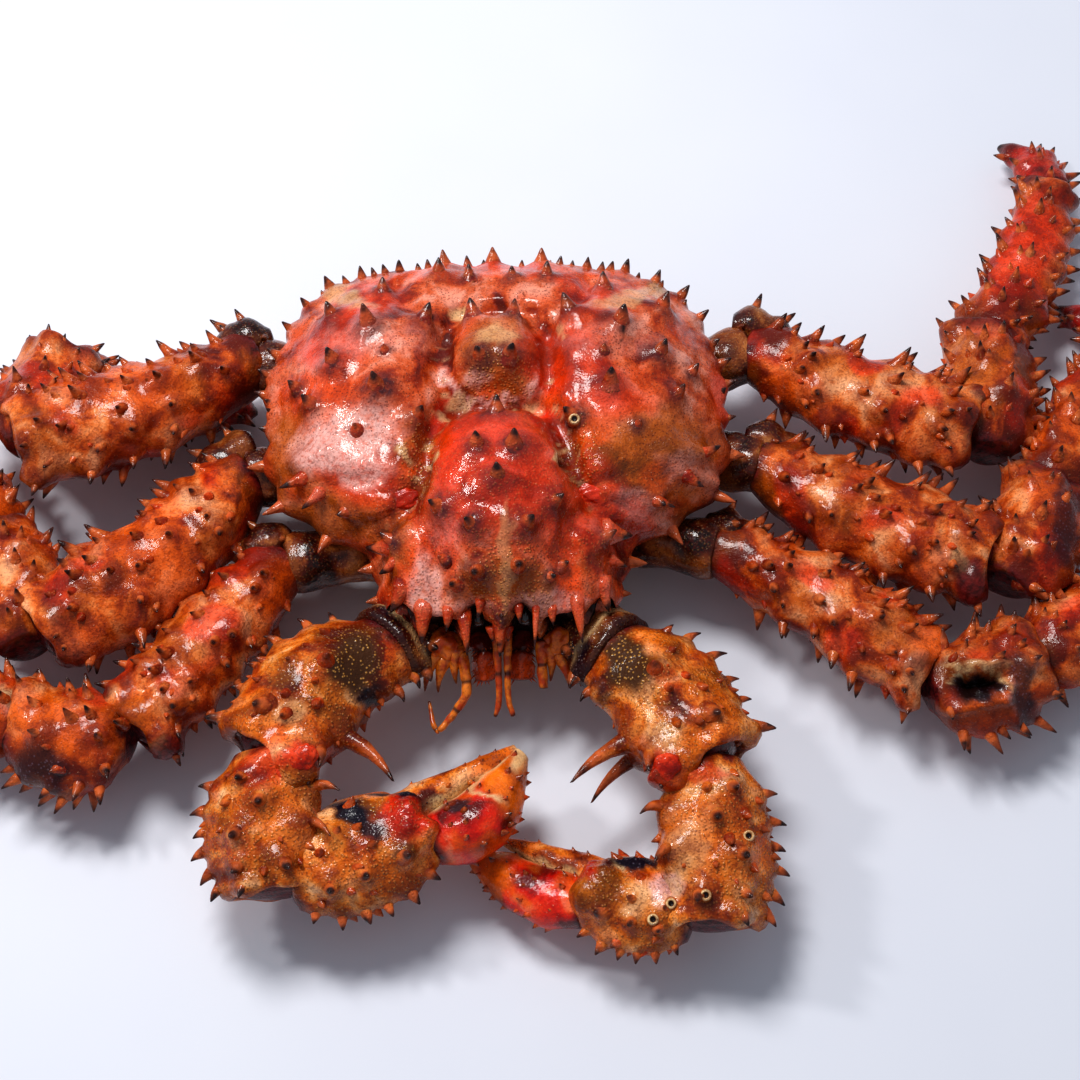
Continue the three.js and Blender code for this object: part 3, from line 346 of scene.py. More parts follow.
# Spines of the carapace: (root x, y, tip x, y, drop of the tip in millimetres, radius in millimetres).
SEEN_SPINES = [
    (424, 610, 420, 646, 5, 3.4), (464, 624, 468, 656, 6, 2.2), (500, 622, 501, 657, 7, 3.4),
    (492, 630, 493, 642, 3, 1.5), (508, 630, 508, 642, 3, 1.5),
    (537, 608, 535, 650, 6, 2.3), (577, 602, 582, 642, 5, 3.4), (606, 586, 609, 613, 5, 2.6),
    (399, 588, 391, 613, 4, 2.8), (447, 616, 446, 632, 3, 1.8), (519, 610, 520, 624, 2, 1.4),
    (611, 531, 632, 535, 2, 3.8), (388, 545, 366, 548, 2, 3.6), (700, 455, 722, 446, -2, 2.6),
    (690, 476, 704, 487, 1, 2.2), (660, 500, 676, 508, 1, 1.8), (552, 612, 553, 626, 3, 1.6),
    (300, 478, 280, 487, 1, 2.4), (316, 497, 302, 509, 1, 2.0), (479, 608, 478, 618, 2, 1.4),
    (390, 566, 378, 574, 2, 2.0), (615, 562, 628, 566, 2, 2.0),
]

# Rounded swellings, by node: (x, y, half sizes along and across in millimetres, tilt, mark).
BOSSES = {
    "carapace": [(405, 500, 8.0, 4.6, 8, "red"), (591, 493, 7.6, 4.4, -12, "red")],
    "claw_right_merus": [(302, 758, 6.0, 4.6, 30, "red")],
    "claw_right_carpus": [(289, 772, 4.8, 3.8, 0, "red")],
    "claw_left_merus": [(669, 766, 5.2, 5.0, 0, "red")],
}

# A hole broken in a shell, by node: (x, y, half width, half height, tilt).
BROKEN = {"leg_left_1_carpus": (978, 684, 38, 26, 8)}

# Places without tubercles, by node: (x, y, half width, half height, tilt).
BARE = {
    "claw_right_merus": [(352, 660, 30, 50, 0), (300, 752, 24, 16, 0)],
    "claw_right_palm": [(400, 812, 40, 34, 0)],
    "claw_left_merus": [(625, 665, 34, 44, 0), (668, 765, 18, 18, 0)],
}

# Broken spines that show a cream rim and a dark core, the core being painted shade in their hollow, by node:
# (x, y, radius in millimetres).
STUMPS = {
    "carapace": [(574, 421, 2.0)],
    "claw_left_carpus": [(750, 834, 1.9), (709, 895, 1.9), (671, 902, 1.8)],
    "claw_left_palm": [(649, 920, 1.9)],
}

# Local colour, painted shade and painted sheen, by node and mark: (x, y, half width, half height, tilt,
# strength).
LOCAL_MARKS = {
    "carapace": {
        "orange": [
            (318, 392, 36, 20, 10, 0.9), (556, 380, 18, 44, 8, 1), (625, 400, 34, 16, 0, 0.6),
            (450, 450, 14, 40, -10, 1), (448, 530, 12, 40, 0, 0.9), (564, 560, 16, 60, 5, 1),
            (410, 570, 8, 30, 0, 0.8), (497, 440, 30, 30, 0, 0.5), (500, 270, 190, 12, 0, 0.8),
            (499, 622, 9, 14, 0, 0.7),
        ],
        # Painted sheen and highlights of the wet shell; the last three are the light ridges round the cardiac
        # pocket.
        "pale": [
            (346, 440, 50, 30, 20, 0.95), (360, 470, 28, 18, 0, 0.8), (426, 590, 15, 34, 10, 0.75),
            (640, 505, 26, 14, -20, 0.35), (380, 340, 60, 16, 0, 0.2), (610, 340, 50, 16, 0, 0.2),
            (690, 470, 30, 14, -30, 0.35), (548, 604, 34, 11, 0, 0.6), (470, 604, 22, 7, 0, 0.45),
            (446, 530, 16, 20, 0, 0.25), (476, 378, 14, 9, 0, 0.6), (404, 502, 8, 3, 12, 0.6),
            (451, 386, 5, 19, 32, 1), (490, 399, 30, 3, 3, 0.9), (532, 388, 4, 14, -25, 0.7),
        ],
        "brown": [
            (326, 520, 64, 32, 30, 1), (655, 455, 62, 46, 0, 1), (418, 462, 20, 40, 0, 1),
            (588, 450, 20, 30, 0, 1), (508, 590, 46, 34, 0, 0.9), (296, 455, 22, 44, 0, 0.9),
            (400, 550, 14, 40, 0, 0.8), (574, 590, 16, 30, 0, 0.6), (640, 420, 60, 16, 0, 0.7),
            (497, 345, 36, 30, 0, 0.8), (497, 378, 34, 24, 0, 1),
        ],
        "beads": [
            (508, 585, 40, 46, 0, 0.9), (497, 378, 34, 24, 0, 1), (418, 462, 18, 44, 0, 1),
            (584, 455, 16, 34, 0, 1),
        ],
        "cream": [
            (506, 565, 6, 60, 0, 0.32), (497, 337, 20, 11, 0, 0.5), (434, 455, 4, 5, 0, 1),
            (560, 455, 5, 8, -30, 1), (457, 402, 9, 5, 30, 0.7), (534, 406, 8, 5, -20, 0.7),
            (464, 312, 14, 5, 0, 0.8), (405, 453, 4, 10, 20, 0.6), (560, 330, 5, 4, 0, 0.5),
            (330, 292, 44, 8, -18, 0.5), (640, 296, 48, 8, 14, 0.45),
        ],
        # Painted shade in the grooves and creases of the carapace.
        "deep": [
            (448, 350, 6, 36, 0, 0.9), (546, 352, 6, 40, 0, 0.9), (500, 402, 40, 4, 0, 0.7),
            (424, 470, 7, 36, -10, 1), (576, 462, 8, 30, 10, 1), (434, 545, 4, 30, 0, 0.8),
            (556, 545, 5, 40, 0, 0.8), (446, 634, 12, 9, 10, 1), (335, 572, 44, 10, 30, 0.8),
            (650, 500, 50, 10, -30, 0.5),
        ],
        # Black as painted shade in the dents under the brow and beside the dome.
        "dark": [
            (566, 462, 4, 6, 0, 0.8), (424, 470, 3, 8, 0, 0.7), (622, 333, 3, 5, 0, 1),
            (474, 620, 9, 16, 0, 1), (523, 620, 9, 16, 0, 1), (556, 636, 13, 13, 0, 1),
            (598, 626, 14, 12, -15, 1),
        ],
        "red": [(440, 415, 8, 26, -30, 1), (546, 425, 10, 26, 30, 1), (480, 430, 40, 22, 0, 0.8)],
    },
    "claw_right_merus": {
        "beads": [(352, 664, 26, 40, -20, 1), (320, 690, 30, 40, 0, 0.8)],
        "olive": [(354, 664, 24, 32, -20, 1)],
        "deep": [(352, 632, 30, 18, 0, 1), (375, 660, 6, 50, 0, 1), (284, 684, 14, 12, 0, 0.6)],
        "blue": [(365, 696, 9, 12, 0, 1)], "cream": [(290, 712, 16, 12, 0, 0.45)],
        "red": [(300, 752, 26, 12, 20, 0.9)],
    },
    "claw_right_carpus": {
        "red": [(262, 765, 20, 26, -40, 0.8)], "deep": [(262, 775, 7, 14, -40, 0.7)],
        "beads": [(250, 830, 40, 50, 0, 0.8)],
    },
    "claw_right_palm": {
        "blue": [(352, 812, 24, 10, -30, 1), (400, 796, 40, 7, -12, 1), (372, 830, 14, 12, 0, 0.9)],
        "beads": [(366, 808, 22, 10, -20, 1), (350, 850, 50, 30, 0, 0.8)],
        "olive": [(366, 806, 14, 6, -20, 0.7), (404, 852, 10, 9, 0, 0.7)],
        "red": [(408, 815, 26, 24, 0, 1)], "orange": [(370, 870, 50, 20, 0, 0.5)],
    },
    "claw_left_merus": {
        "deep": [(612, 660, 22, 30, 20, 0.9), (672, 710, 14, 12, 0, 0.5)],
        "beads": [(650, 680, 22, 40, 10, 1)], "olive": [(628, 662, 22, 34, 30, 1)],
        "cream": [(670, 735, 16, 12, 0, 0.45)], "red": [(668, 765, 14, 14, 0, 1)],
        "blue": [(606, 690, 6, 14, 20, 0.7)],
    },
    "claw_left_carpus": {
        "beads": [(738, 850, 26, 70, 0, 1), (712, 800, 30, 20, 0, 0.9)],
        "cream": [(692, 850, 14, 26, 0, 0.3), (670, 890, 10, 10, 0, 0.5)],
        "red": [(700, 775, 30, 8, 0, 0.7)], "pale": [(666, 888, 15, 14, 0, 1)],
        "deep": [(650, 884, 4, 18, 0, 0.8)],
    },
    "claw_left_palm": {
        "blue": [(640, 862, 30, 10, 8, 1)], "pale": [(664, 888, 14, 14, 0, 1)],
        "red": [(584, 872, 16, 16, 0, 1)], "beads": [(610, 880, 30, 20, 0, 0.8)],
        "cream": [(618, 868, 4, 8, 0, 0.9)], "brown": [(600, 890, 26, 18, 0, 1)],
        "deep": [(596, 905, 20, 5, 0, 0.7)],
    },
    "claw_right_thumb": {
        "blue": [(456, 807, 14, 6, 5, 0.9)], "orange": [(508, 790, 18, 36, 30, 1)],
        "cream": [(520, 756, 12, 16, 0, 0.85), (470, 790, 36, 4, -20, 0.8)],
    },
    "leg_left_1_carpus": {
        "brown": [(975, 684, 46, 30, 8, 0.9)], "cream": [(978, 664, 34, 4, 0, 0.5)],
        "blue": [
            (974, 687, 25, 10, 8, 1), (960, 681, 10, 7, 30, 0.9), (996, 685, 9, 10, -20, 0.95),
            (984, 694, 12, 5, -10, 0.9), (1018, 690, 10, 36, 0, 0.8),
        ],
        # Black as painted shade in the broken hole.
        "dark": [(966, 689, 12, 8, 8, 1), (990, 683, 12, 7, -10, 1), (978, 690, 6, 4, 0, 0.8)],
        # The thin light strip is a painted highlight.
        "deep": [(985, 712, 44, 10, 8, 1), (950, 684, 5, 18, 0, 1)], "pale": [(1010, 690, 3, 14, 0, 0.7)],
        "red": [(985, 735, 30, 10, 0, 0.6)],
    },
    "leg_left_3_propodus": {"red": [(1022, 250, 34, 60, -25, 0.9)], "deep": [(1030, 300, 20, 30, 0, 0.8)]},
    # Its darker strip on the right is painted shade on the side away from the light.
    "leg_left_3_carpus": {"deep": [(1008, 390, 16, 60, 0, 0.9)], "brown": [(975, 360, 24, 30, 0, 0.8)]},
    "leg_right_1_propodus": {"cream": [(22, 700, 26, 9, -18, 0.85)], "pale": [(30, 710, 30, 14, -18, 0.7)]},
    "leg_left_2_merus": {"cream": [(957, 560, 8, 12, 0, 0.7)]},
    "leg_left_2_carpus": {"deep": [(1056, 520, 20, 50, 0, 0.9)], "blue": [(1066, 524, 12, 44, 0, 0.6)]},
    "leg_right_1_carpus": {
        "deep": [(62, 752, 60, 26, 14, 0.8)], "blue": [(42, 772, 26, 26, 30, 0.75)],
        "brown": [(40, 716, 30, 16, 10, 0.8)],
    },
    "claw_left_thumb": {"cream": [(510, 850, 24, 5, 20, 0.8)], "orange": [(490, 880, 26, 20, 20, 0.8)]},
}

# Local swellings and dents, by node: (x, y, half width, half height, tilt, height in millimetres).
LOCAL_LUMPS = {
    "carapace": [
        (690, 452, 22, 10, -25, 3), (703, 478, 18, 8, -20, 2.5), (640, 520, 20, 14, -20, 3),
        (300, 462, 16, 10, 20, 2), (506, 590, 9, 60, 0, 1.6), (497, 300, 14, 8, 0, 2),
        (448, 352, 5, 30, 8, -1.5), (546, 354, 5, 30, -8, -1.5), (448, 384, 4, 20, 32, 2.4),
        (490, 400, 34, 2.5, 3, 1.8), (534, 388, 4, 16, -25, 2.0), (492, 340, 22, 16, 0, 1.0),
        (418, 455, 5, 12, 20, 1.6), (412, 478, 5, 10, 0, 1.4), (586, 452, 6, 12, 0, 1.6),
        (566, 460, 6, 9, 0, -2.4), (426, 466, 4, 10, 0, -2.0), (380, 486, 6, 3, -30, 1.5),
        (395, 420, 5, 8, 0, 1.2), (604, 470, 8, 8, 0, 1.4), (474, 620, 9, 15, 0, -9),
        (523, 620, 9, 15, 0, -9), (556, 634, 12, 12, 0, -8), (597, 624, 13, 12, -15, -7),
        (446, 634, 13, 10, 10, -6), (414, 622, 8, 8, 0, -3), (499, 622, 9, 16, 0, 3),
        (380, 520, 20, 6, 30, -2.0), (620, 505, 20, 5, -30, -2.0), (360, 560, 30, 8, 30, 1.5),
    ],
    "leg_left_1_carpus": [
        (966, 686, 17, 12, 8, -11), (992, 680, 16, 9, 20, -11), (958, 667, 9, 3, 20, 3.5),
        (978, 664, 8, 3, -10, 2), (998, 664, 9, 3, 10, 3.5), (1011, 682, 3, 9, 0, 3),
        (944, 688, 3, 8, 0, 3), (962, 706, 10, 3, 0, 3), (986, 702, 12, 3, 10, 2.5),
        (1004, 700, 6, 4, 0, 3.5), (979, 690, 3, 3, 0, 5), (1012, 720, 3, 18, 0, 2),
    ],
    "claw_right_merus": [(300, 757, 12, 10, 0, 3)],
    "claw_right_carpus": [(288, 768, 9, 8, 0, 3), (262, 760, 12, 20, -40, 2)],
    "claw_right_palm": [
        (405, 816, 10, 9, 0, 3), (404, 832, 8, 6, 0, 3), (425, 830, 8, 9, 0, 3), (404, 852, 10, 9, 0, 2.5),
    ],
    "claw_left_merus": [(668, 765, 10, 12, 0, 4)],
    "claw_left_palm": [(584, 868, 8, 8, 0, 2.5), (590, 896, 12, 11, 0, 3), (612, 880, 9, 9, 0, 2.5)],
}

# ---------------------------------------------------------------- small mathematics


def unit(vector):
    vector = np.asarray(vector, float)
    return vector / np.linalg.norm(vector, axis=-1, keepdims=True)


def jitter(seed):
    """A repeatable number between -1 and 1 for a whole number."""
    wave = math.sin(seed * 12.9898 + 78.233) * 43758.5453
    return 2 * (wave - math.floor(wave)) - 1


def along_knots(knots, position):
    """Values between knots [position, ...values], eased so that the curve is smooth at each knot."""
    knots = np.asarray(knots, float)
    place, values = knots[:, 0], knots[:, 1:]
    x = np.clip(np.asarray(position, float), place[0], place[-1])
    last = len(place) - 1
    low, high = np.maximum(np.arange(last + 1) - 1, 0), np.minimum(np.arange(last + 1) + 1, last)
    slopes = (values[high] - values[low]) / (place[high] - place[low])[:, None]
    after = np.clip(np.searchsorted(place, x, side="right"), 1, last)
    before = after - 1
    span = place[after] - place[before]
    s = ((x - place[before]) / span)[..., None]
    span = span[..., None]
    start = (2 * s**3 - 3 * s**2 + 1) * values[before] + (s**3 - 2 * s**2 + s) * span * slopes[before]
    end = (3 * s**2 - 2 * s**3) * values[after] + (s**3 - s**2) * span * slopes[after]
    return start + end


def smooth(low, high, value):
    """0 below low, 1 above high and an even ease between; low may be the greater of the two."""
    share = np.clip((np.asarray(value, float) - low) / (high - low), 0, 1)
    return share * share * (3 - 2 * share)


def ripple(points, size, seed, waves=16):
    """A smooth random field, mostly between -1 and 1, whose bumps are about `size` across."""
    draw = np.random.default_rng(seed)
    directions = unit(draw.normal(size=(waves, 3)))
    pitch = np.pi / (size * draw.uniform(0.7, 1.4, waves))
    phase = draw.uniform(0, 2 * np.pi, waves)
    turns = np.asarray(points) @ (directions * pitch[:, None]).T + phase
    return np.sin(turns).sum(axis=-1) / math.sqrt(waves / 2) * 0.7


def distance_to_path(x, y, path):
    nearest = np.full(np.shape(x), np.inf)
    for (ax, ay), (bx, by) in zip(path, path[1:]):
        dx, dy = bx - ax, by - ay
        share = np.clip(((x - ax) * dx + (y - ay) * dy) / (dx * dx + dy * dy), 0, 1)
        nearest = np.minimum(nearest, np.hypot(x - ax - share * dx, y - ay - share * dy))
    return nearest


def strongest(*paintings):
    """The marks of several paintings, each at its strongest."""
    marks = {}
    for painting in paintings:
        for name, amount in painting.items():
            marks[name] = np.maximum(marks.get(name, 0), amount)
    return marks


# ---------------------------------------------------------------- camera and body frames


def seen(points):
    """Where the camera sees points of the crab's layout in its picture."""
    away = np.asarray(points) - CAMERA_PLACE
    reach = PICTURE_REACH / (away @ CAMERA_FORWARD)
    return PICTURE_MIDDLE + reach * away[..., 0], PICTURE_MIDDLE - reach * (away @ CAMERA_UP)


def ray(across, down):
    """The direction in which the camera sees a place of its picture."""
    right, low = (across - PICTURE_MIDDLE) / PICTURE_REACH, (down - PICTURE_MIDDLE) / PICTURE_REACH
    return CAMERA_FORWARD + CAMERA_RIGHT * right - CAMERA_UP * low


def surface_point(points, across, down):
    """The point of a skin that the camera sees at a place of its picture."""
    seen_across, seen_down = seen(points)
    miss = np.hypot(seen_across - across, seen_down - down)
    depth = (points - CAMERA_PLACE) @ CAMERA_FORWARD
    score = np.where(miss < 4, depth + 0.2 * miss, 1e6 + miss)
    return points[np.argmin(score)]


def turned(points, turn=BODY_TURN):
    """Points of the body, twisted against the limbs."""
    cos, sin = math.cos(turn), math.sin(turn)
    return points @ np.array([[cos, sin, 0], [-sin, cos, 0], [0, 0, 1]])


def unturned(points):
    """The reverse of `turned`."""
    return turned(points, -BODY_TURN)


def layout_shift():
    """From the crab's layout to the row frame, in millimetres: the left eye is a whole ellipsoid in both."""
    low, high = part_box("eye_left")
    return np.array((low + high) / 2) * 1000 - turned(np.array(EYE[0], float))


SHIFT = layout_shift()


def ellipse(across, down, spot):
    """Distance from the middle of an ellipse (x, y, half width, half height, tilt), with its edge at 1."""
    x, y, half_width, half_height, tilt = spot
    turn = math.radians(tilt)
    dx, dy = across - x, down - y
    along, beside = dx * math.cos(turn) - dy * math.sin(turn), dx * math.sin(turn) + dy * math.cos(turn)
    return np.hypot(along / half_width, beside / half_height)


def local_features(node, grid, normals, body=False):
    """The local marks of a node, and how far its skin is raised."""
    across, down = seen(turned(grid) if body else grid)
    facing = smooth(-0.1, 0.25, normals @ -CAMERA_FORWARD)
    rise = np.zeros(across.shape)
    for *spot, height in LOCAL_LUMPS.get(node, []):
        shown = facing if height > 0 else 1.0
        rise = rise + height * shown * np.exp(-((1.15 * ellipse(across, down, spot)) ** 2))
    across = across + 3 * ripple(grid, 5, 301) + 1.5 * ripple(grid, 2.5, 302)
    down = down + 3 * ripple(grid, 5, 303) + 1.5 * ripple(grid, 2.5, 304)
    marks = {
        name: np.max([strength * facing * smooth(1.35, 0.7, ellipse(across, down, spot))
                      for *spot, strength in spots], axis=0)
        for name, spots in LOCAL_MARKS.get(node, {}).items()
    }
    return marks, rise


def crumble(node):
    """Adds a ragged rim of chips around the hole broken in a shell."""
    draw = np.random.default_rng(93)
    x, y, half_width, half_height, _ = BROKEN[node]
    for index in range(CHIPS):
        turn = 2 * np.pi * (index + draw.uniform(0, 0.8)) / CHIPS
        reach = draw.uniform(0.62, 0.9)
        place = (x + 2 + half_width * reach * math.cos(turn), y + 4 + half_height * reach * math.sin(turn))
        size = (draw.uniform(2.5, 5.5), draw.uniform(1.8, 3.2), draw.uniform(-60, 60))
        mark = "cream" if math.sin(turn) < 0.2 else "brown"
        LOCAL_MARKS[node][mark].append((*place, *size, draw.uniform(0.5, 0.95)))
        LOCAL_LUMPS[node].append((*place, *size, draw.uniform(0.8, 2.2)))


# ---------------------------------------------------------------- skins


def circle(corners, first, second):
    """Points of a unit circle in the plane of two directions."""
    angle = 2 * np.pi * np.arange(corners) / corners
    return np.cos(angle)[:, None] * first + np.sin(angle)[:, None] * second


def grid_normals(grid):
    """Outward directions of a grid whose rings follow one another."""
    along = np.gradient(grid, axis=0)
    around = np.roll(grid, -1, axis=1) - np.roll(grid, 1, axis=1)
    normal = np.cross(around, along)
    return normal / np.maximum(np.linalg.norm(normal, axis=-1, keepdims=True), 1e-9)


def with_poles(grid, start, end):
    return np.concatenate([[start], grid.reshape(-1, 3), [end]])


def tube_faces(rings, around):
    """Faces over rings of points that turn the right-handed way, with a pole before and after them."""
    step = np.arange(around)
    after = (step + 1) % around
    low = 1 + np.arange(rings - 1)[:, None] * around
    quads = np.stack([low + step, low + after, low + after + around, low + step + around], axis=-1)
    last = 1 + (rings - 1) * around
    start = np.stack([0 * step, 1 + after, 1 + step], axis=-1)
    end = np.stack([0 * step + last + around, last + step, last + after], axis=-1)
    return quads.reshape(-1, 4).tolist() + start.tolist() + end.tolist()


class Skin:
    """The points, faces and painted marks of one piece, gathered part by part."""

    def __init__(self):
        self.points, self.faces, self.marks = [], [], []
        self.count = 0

    def add(self, points, faces, **marks):
        painted = np.zeros((len(points), len(MARKS)))
        for name, amount in marks.items():
            painted[:, MARKS.index(name)] = np.clip(amount, 0, 1)
        self.points.append(points)
        self.marks.append(painted)
        self.faces += [[corner + self.count for corner in face] for face in faces]
        self.count += len(points)

    def add_tube(self, grid, start, end, **marks):
        """Rings of points and two poles, each of which is marked like the ring beside it."""
        full = {}
        for name, amount in marks.items():
            amount = np.broadcast_to(amount, grid.shape[:2])
            full[name] = np.concatenate([[amount[0].mean()], amount.ravel(), [amount[-1].mean()]])
        self.add(with_poles(grid, start, end), tube_faces(*grid.shape[:2]), **full)

    def build(self, node, material, slot, body=False, floor=0.3):
        """Makes the piece that replaces a node; none of it lies lower than the floor given."""
        add_details(self, node, body)
        points = np.concatenate(self.points)
        if body:
            points = turned(points)
        points[:, 2] = np.maximum(points[:, 2], floor)
        mesh = bpy.data.meshes.new(node + "_skin")
        mesh.from_pydata(((points + SHIFT) / 1000).tolist(), [], self.faces)
        marks = np.concatenate(self.marks).astype(np.float32)
        for index in range(0, len(MARKS), 4):
            four = np.zeros((len(marks), 4), np.float32)
            four[:, : len(MARKS[index : index + 4])] = marks[:, index : index + 4]
            layer = mesh.attributes.new(f"marks_{index}", "FLOAT_COLOR", "POINT")
            layer.data.foreach_set("color", four.ravel())
        mesh.shade_smooth()
        mesh.materials.append(material)
        piece = bpy.data.objects.new(node + "_skin", mesh)
        bpy.context.scene.collection.objects.link(piece)
        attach(piece, "root")
        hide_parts(node)


# ---------------------------------------------------------------- spines and other details

# Rings of a spine: [share of the height, share of the base radius].
SPINE_PROFILE = [
    [-0.3, 1.1], [0, 1], [0.1, 0.86], [0.22, 0.74], [0.36, 0.61], [0.5, 0.5], [0.64, 0.39], [0.77, 0.28],
    [0.88, 0.18], [0.96, 0.1],
]
TUBERCLE_PROFILE = [[-0.4, 1.2], [0.0, 1.0], [0.2, 0.82], [0.42, 0.6], [0.65, 0.38], [0.85, 0.2], [0.95, 0.1]]

# Rings of a broken spine: [height, share of the radius, paleness of the rim, darkness of the core].
STUMP_PROFILE = [
    [-1.5, 1.5, 0, 0], [0.3, 1.2, 0, 0], [1.6, 1.0, 1, 0], [1.9, 0.85, 1, 0], [1.7, 0.62, 0.6, 0.3],
    [0.9, 0.5, 0, 1], [0.8, 0.2, 0, 1],
]


def make_spine(root, direction, height, radius, away=(0, 0, 0), halo=0.6, dark=1.0, red=0.0, swell=1.0):
    """A spine, with how far it bends away and how strong its halo, dark tip, red and mound are."""
    return dict(root=np.asarray(root, float), direction=unit(direction), height=height, radius=radius,
                away=away, halo=halo, dark=dark, red=red, swell=swell)


def mounds(points, spines):
    """Height of the mounds under the spines, and how near each point is to one."""
    rise, near = np.zeros(points.shape[:-1]), np.zeros(points.shape[:-1])
    for spine in spines:
        distance = np.linalg.norm(points - spine["root"], axis=-1)
        height = min(spine["height"], 12)
        reach = MOUND_REACH[0] * height + MOUND_REACH[1]
        lift = MOUND_RISE[int(height > LOW_SPINE)] * height * np.exp(-((distance / reach) ** 1.6))
        rise = np.maximum(rise, spine["swell"] * lift)
        near = np.maximum(near, spine["halo"] * np.exp(-((distance / (1.15 * reach)) ** 3)))
    return rise, near


def add_spine(skin, spine):
    """A slightly bent cone with a dark tip, rooted below the skin."""
    root, direction, height = spine["root"], spine["direction"], spine["height"]
    small, slender = height <= LOW_SPINE, smooth(11, 17, height)
    stout = smooth(3.8, 4.6, spine["radius"]) * (1 - slender)
    radius = (SPINE_FLARE * (1 - slender) + 0.85 * slender) * (1 - 0.3 * stout) * spine["radius"]
    side = unit(np.cross([0.3, 0.2, 1.0], direction))
    corners = max(6, round(2 * math.pi * radius / SPINE_FACE))
    share, width = np.array(TUBERCLE_PROFILE if small else SPINE_PROFILE).T
    seed = int(abs(root[0] * 7 + root[1] * 13)) % 997
    crook = 0.05 * height * np.array([jitter(seed), jitter(seed + 1), 0])
    middle = root + np.outer(share * height, direction) + np.outer(4 * share * (1 - share), spine["away"])
    middle += np.outer(np.maximum(share, 0) ** 2, crook)
    rough = 1 + 0.06 * ripple(middle, 2.5, seed)
    ring = circle(corners, side, np.cross(direction, side))
    grid = middle[:, None] + (radius * width * rough)[:, None, None] * ring
    points = with_poles(grid, middle[0] - direction * 0.2, middle[-1] + direction * height * 0.04)
    amount = np.concatenate([[share[0]], np.repeat(share, corners), [1]])
    ragged = amount + 0.1 * ripple(points, 2, seed + 5)
    tint = (0.6 if small else 1.0) * (1 - 0.35 * stout)
    red = max(spine["red"], 0.55 * stout)
    skin.add(points, tube_faces(len(share), corners),
             tip=tint * spine["dark"] * smooth(0.5 + 0.12 * slender, 0.86 + 0.04 * slender, ragged),
             spine=tint * (1 - red) * smooth(0.25, 0.6, ragged), red=red,
             deep=0.5 if small else 0.3, orange=0.5 if small else 0.0, beads=0.4,
             halo=spine["halo"] * smooth(0.7, 0.1, amount))


def apart(spines, others, spacing):
    """The spines that keep some distance from others."""
    return [
        spine for spine in spines
        if all(np.linalg.norm(spine["root"] - other["root"]) > spacing for other in others)
    ]


def scatter(segment, count, seed, first=0.12, last=0.92, size=(1.1, 2.1), spacing=7, node=""):
    """Tubercles at random places on a segment's upper side, each at some distance from the others."""
    draw = np.random.default_rng(seed)
    spines = []
    for _ in range(8 * count):
        share, angle, radius = draw.uniform(first, last), draw.uniform(-125, 125), draw.uniform(*size)
        spine = segment.spine(share, angle, 2.5 * radius, radius, 0.5)
        free = all(ellipse(*seen(spine["root"]), spot) > 1 for spot in BARE.get(node, []))
        if free and apart([spine], spines, spacing) and len(spines) < count:
            spine.update(halo=0.25, dark=draw.uniform(0.2, 0.9), red=draw.uniform(0.0, 0.7))
            spines.append(spine)
    return spines


def seen_spines(grid):
    """The carapace's spines that are placed where the camera sees their roots and tips."""
    points = turned(grid.reshape(-1, 3))
    spines = []
    for across, down, tip_across, tip_down, drop, radius in SEEN_SPINES:
        root = surface_point(points, across, down)
        way = ray(tip_across, tip_down)
        tip = CAMERA_PLACE + way * (root[2] - drop - CAMERA_PLACE[2]) / way[2]
        root, tip = unturned(root), unturned(tip)
        length = np.linalg.norm(tip - root)
        look = dict(away=np.array([0, -0.06, 0.05]) * length, halo=0.1, dark=1.7, red=0.4, swell=0.3)
        spines.append(make_spine(root, tip - root, length, radius, **look))
    return spines


def ellipsoid_grid(centre, radii, cell):
    """Rings along +Y over an ellipsoid, and over the unit sphere, without their poles."""
    rings = max(6, int(math.pi * max(radii) / cell))
    polar = np.linspace(0, np.pi, rings + 2)[1:-1][:, None]
    angle = np.linspace(0, 2 * np.pi, 2 * rings, endpoint=False)[None, :]
    outward = np.stack(
        [np.sin(polar) * np.sin(angle), -np.cos(polar) + 0 * angle, np.sin(polar) * np.cos(angle)], axis=-1
    )
    return np.asarray(centre) + outward * radii, outward


def add_details(skin, node, body=False):
    """The swellings and stumps that are placed where the camera sees them."""
    back = unturned if body else (lambda place: place)
    points = np.concatenate(skin.points)
    points = turned(points) if body else points
    for across, down, along, beside, tilt, mark in BOSSES.get(node, []):
        turn = math.radians(tilt)
        axis = CAMERA_RIGHT * math.cos(turn) + CAMERA_UP * math.sin(turn)
        other = CAMERA_UP * math.cos(turn) - CAMERA_RIGHT * math.sin(turn)
        height = 0.6 * min(along, beside)
        shape = np.array([other * beside, axis * along, -CAMERA_FORWARD * height])
        grid, _ = ellipsoid_grid([0, 0, 0], [1, 1, 1], 0.5 / max(along, beside))
        around = with_poles(grid, [0, -1, 0], [0, 1, 0])
        around = around + 0.06 * around * ripple(around * along, 2, 91)[:, None]
        place = surface_point(points, across, down) + CAMERA_FORWARD * 0.4 * height
        skin.add(back(place + around @ shape), tube_faces(*grid.shape[:2]), **{mark: 0.95})
    for across, down, radius in STUMPS.get(node, []):
        root = surface_point(points, across, down)
        direction = unit(-CAMERA_FORWARD + [0, 0, 0.6])
        share, width, rim, core = np.array(STUMP_PROFILE).T
        side = unit(np.cross([1.0, 0, 0], direction))
        ring = circle(STUMP_CORNERS, side, np.cross(direction, side))
        middle = root + share[:, None] * direction
        grid = back(middle[:, None] + (radius * width)[:, None, None] * ring)
        ends = back(middle[[0, -1]])
        # The core is black, as painted shade in the hollow of the broken spine.
        skin.add_tube(grid, *ends, brown=0.8, cream=rim[:, None], dark=core[:, None])


# ---------------------------------------------------------------- shell segments


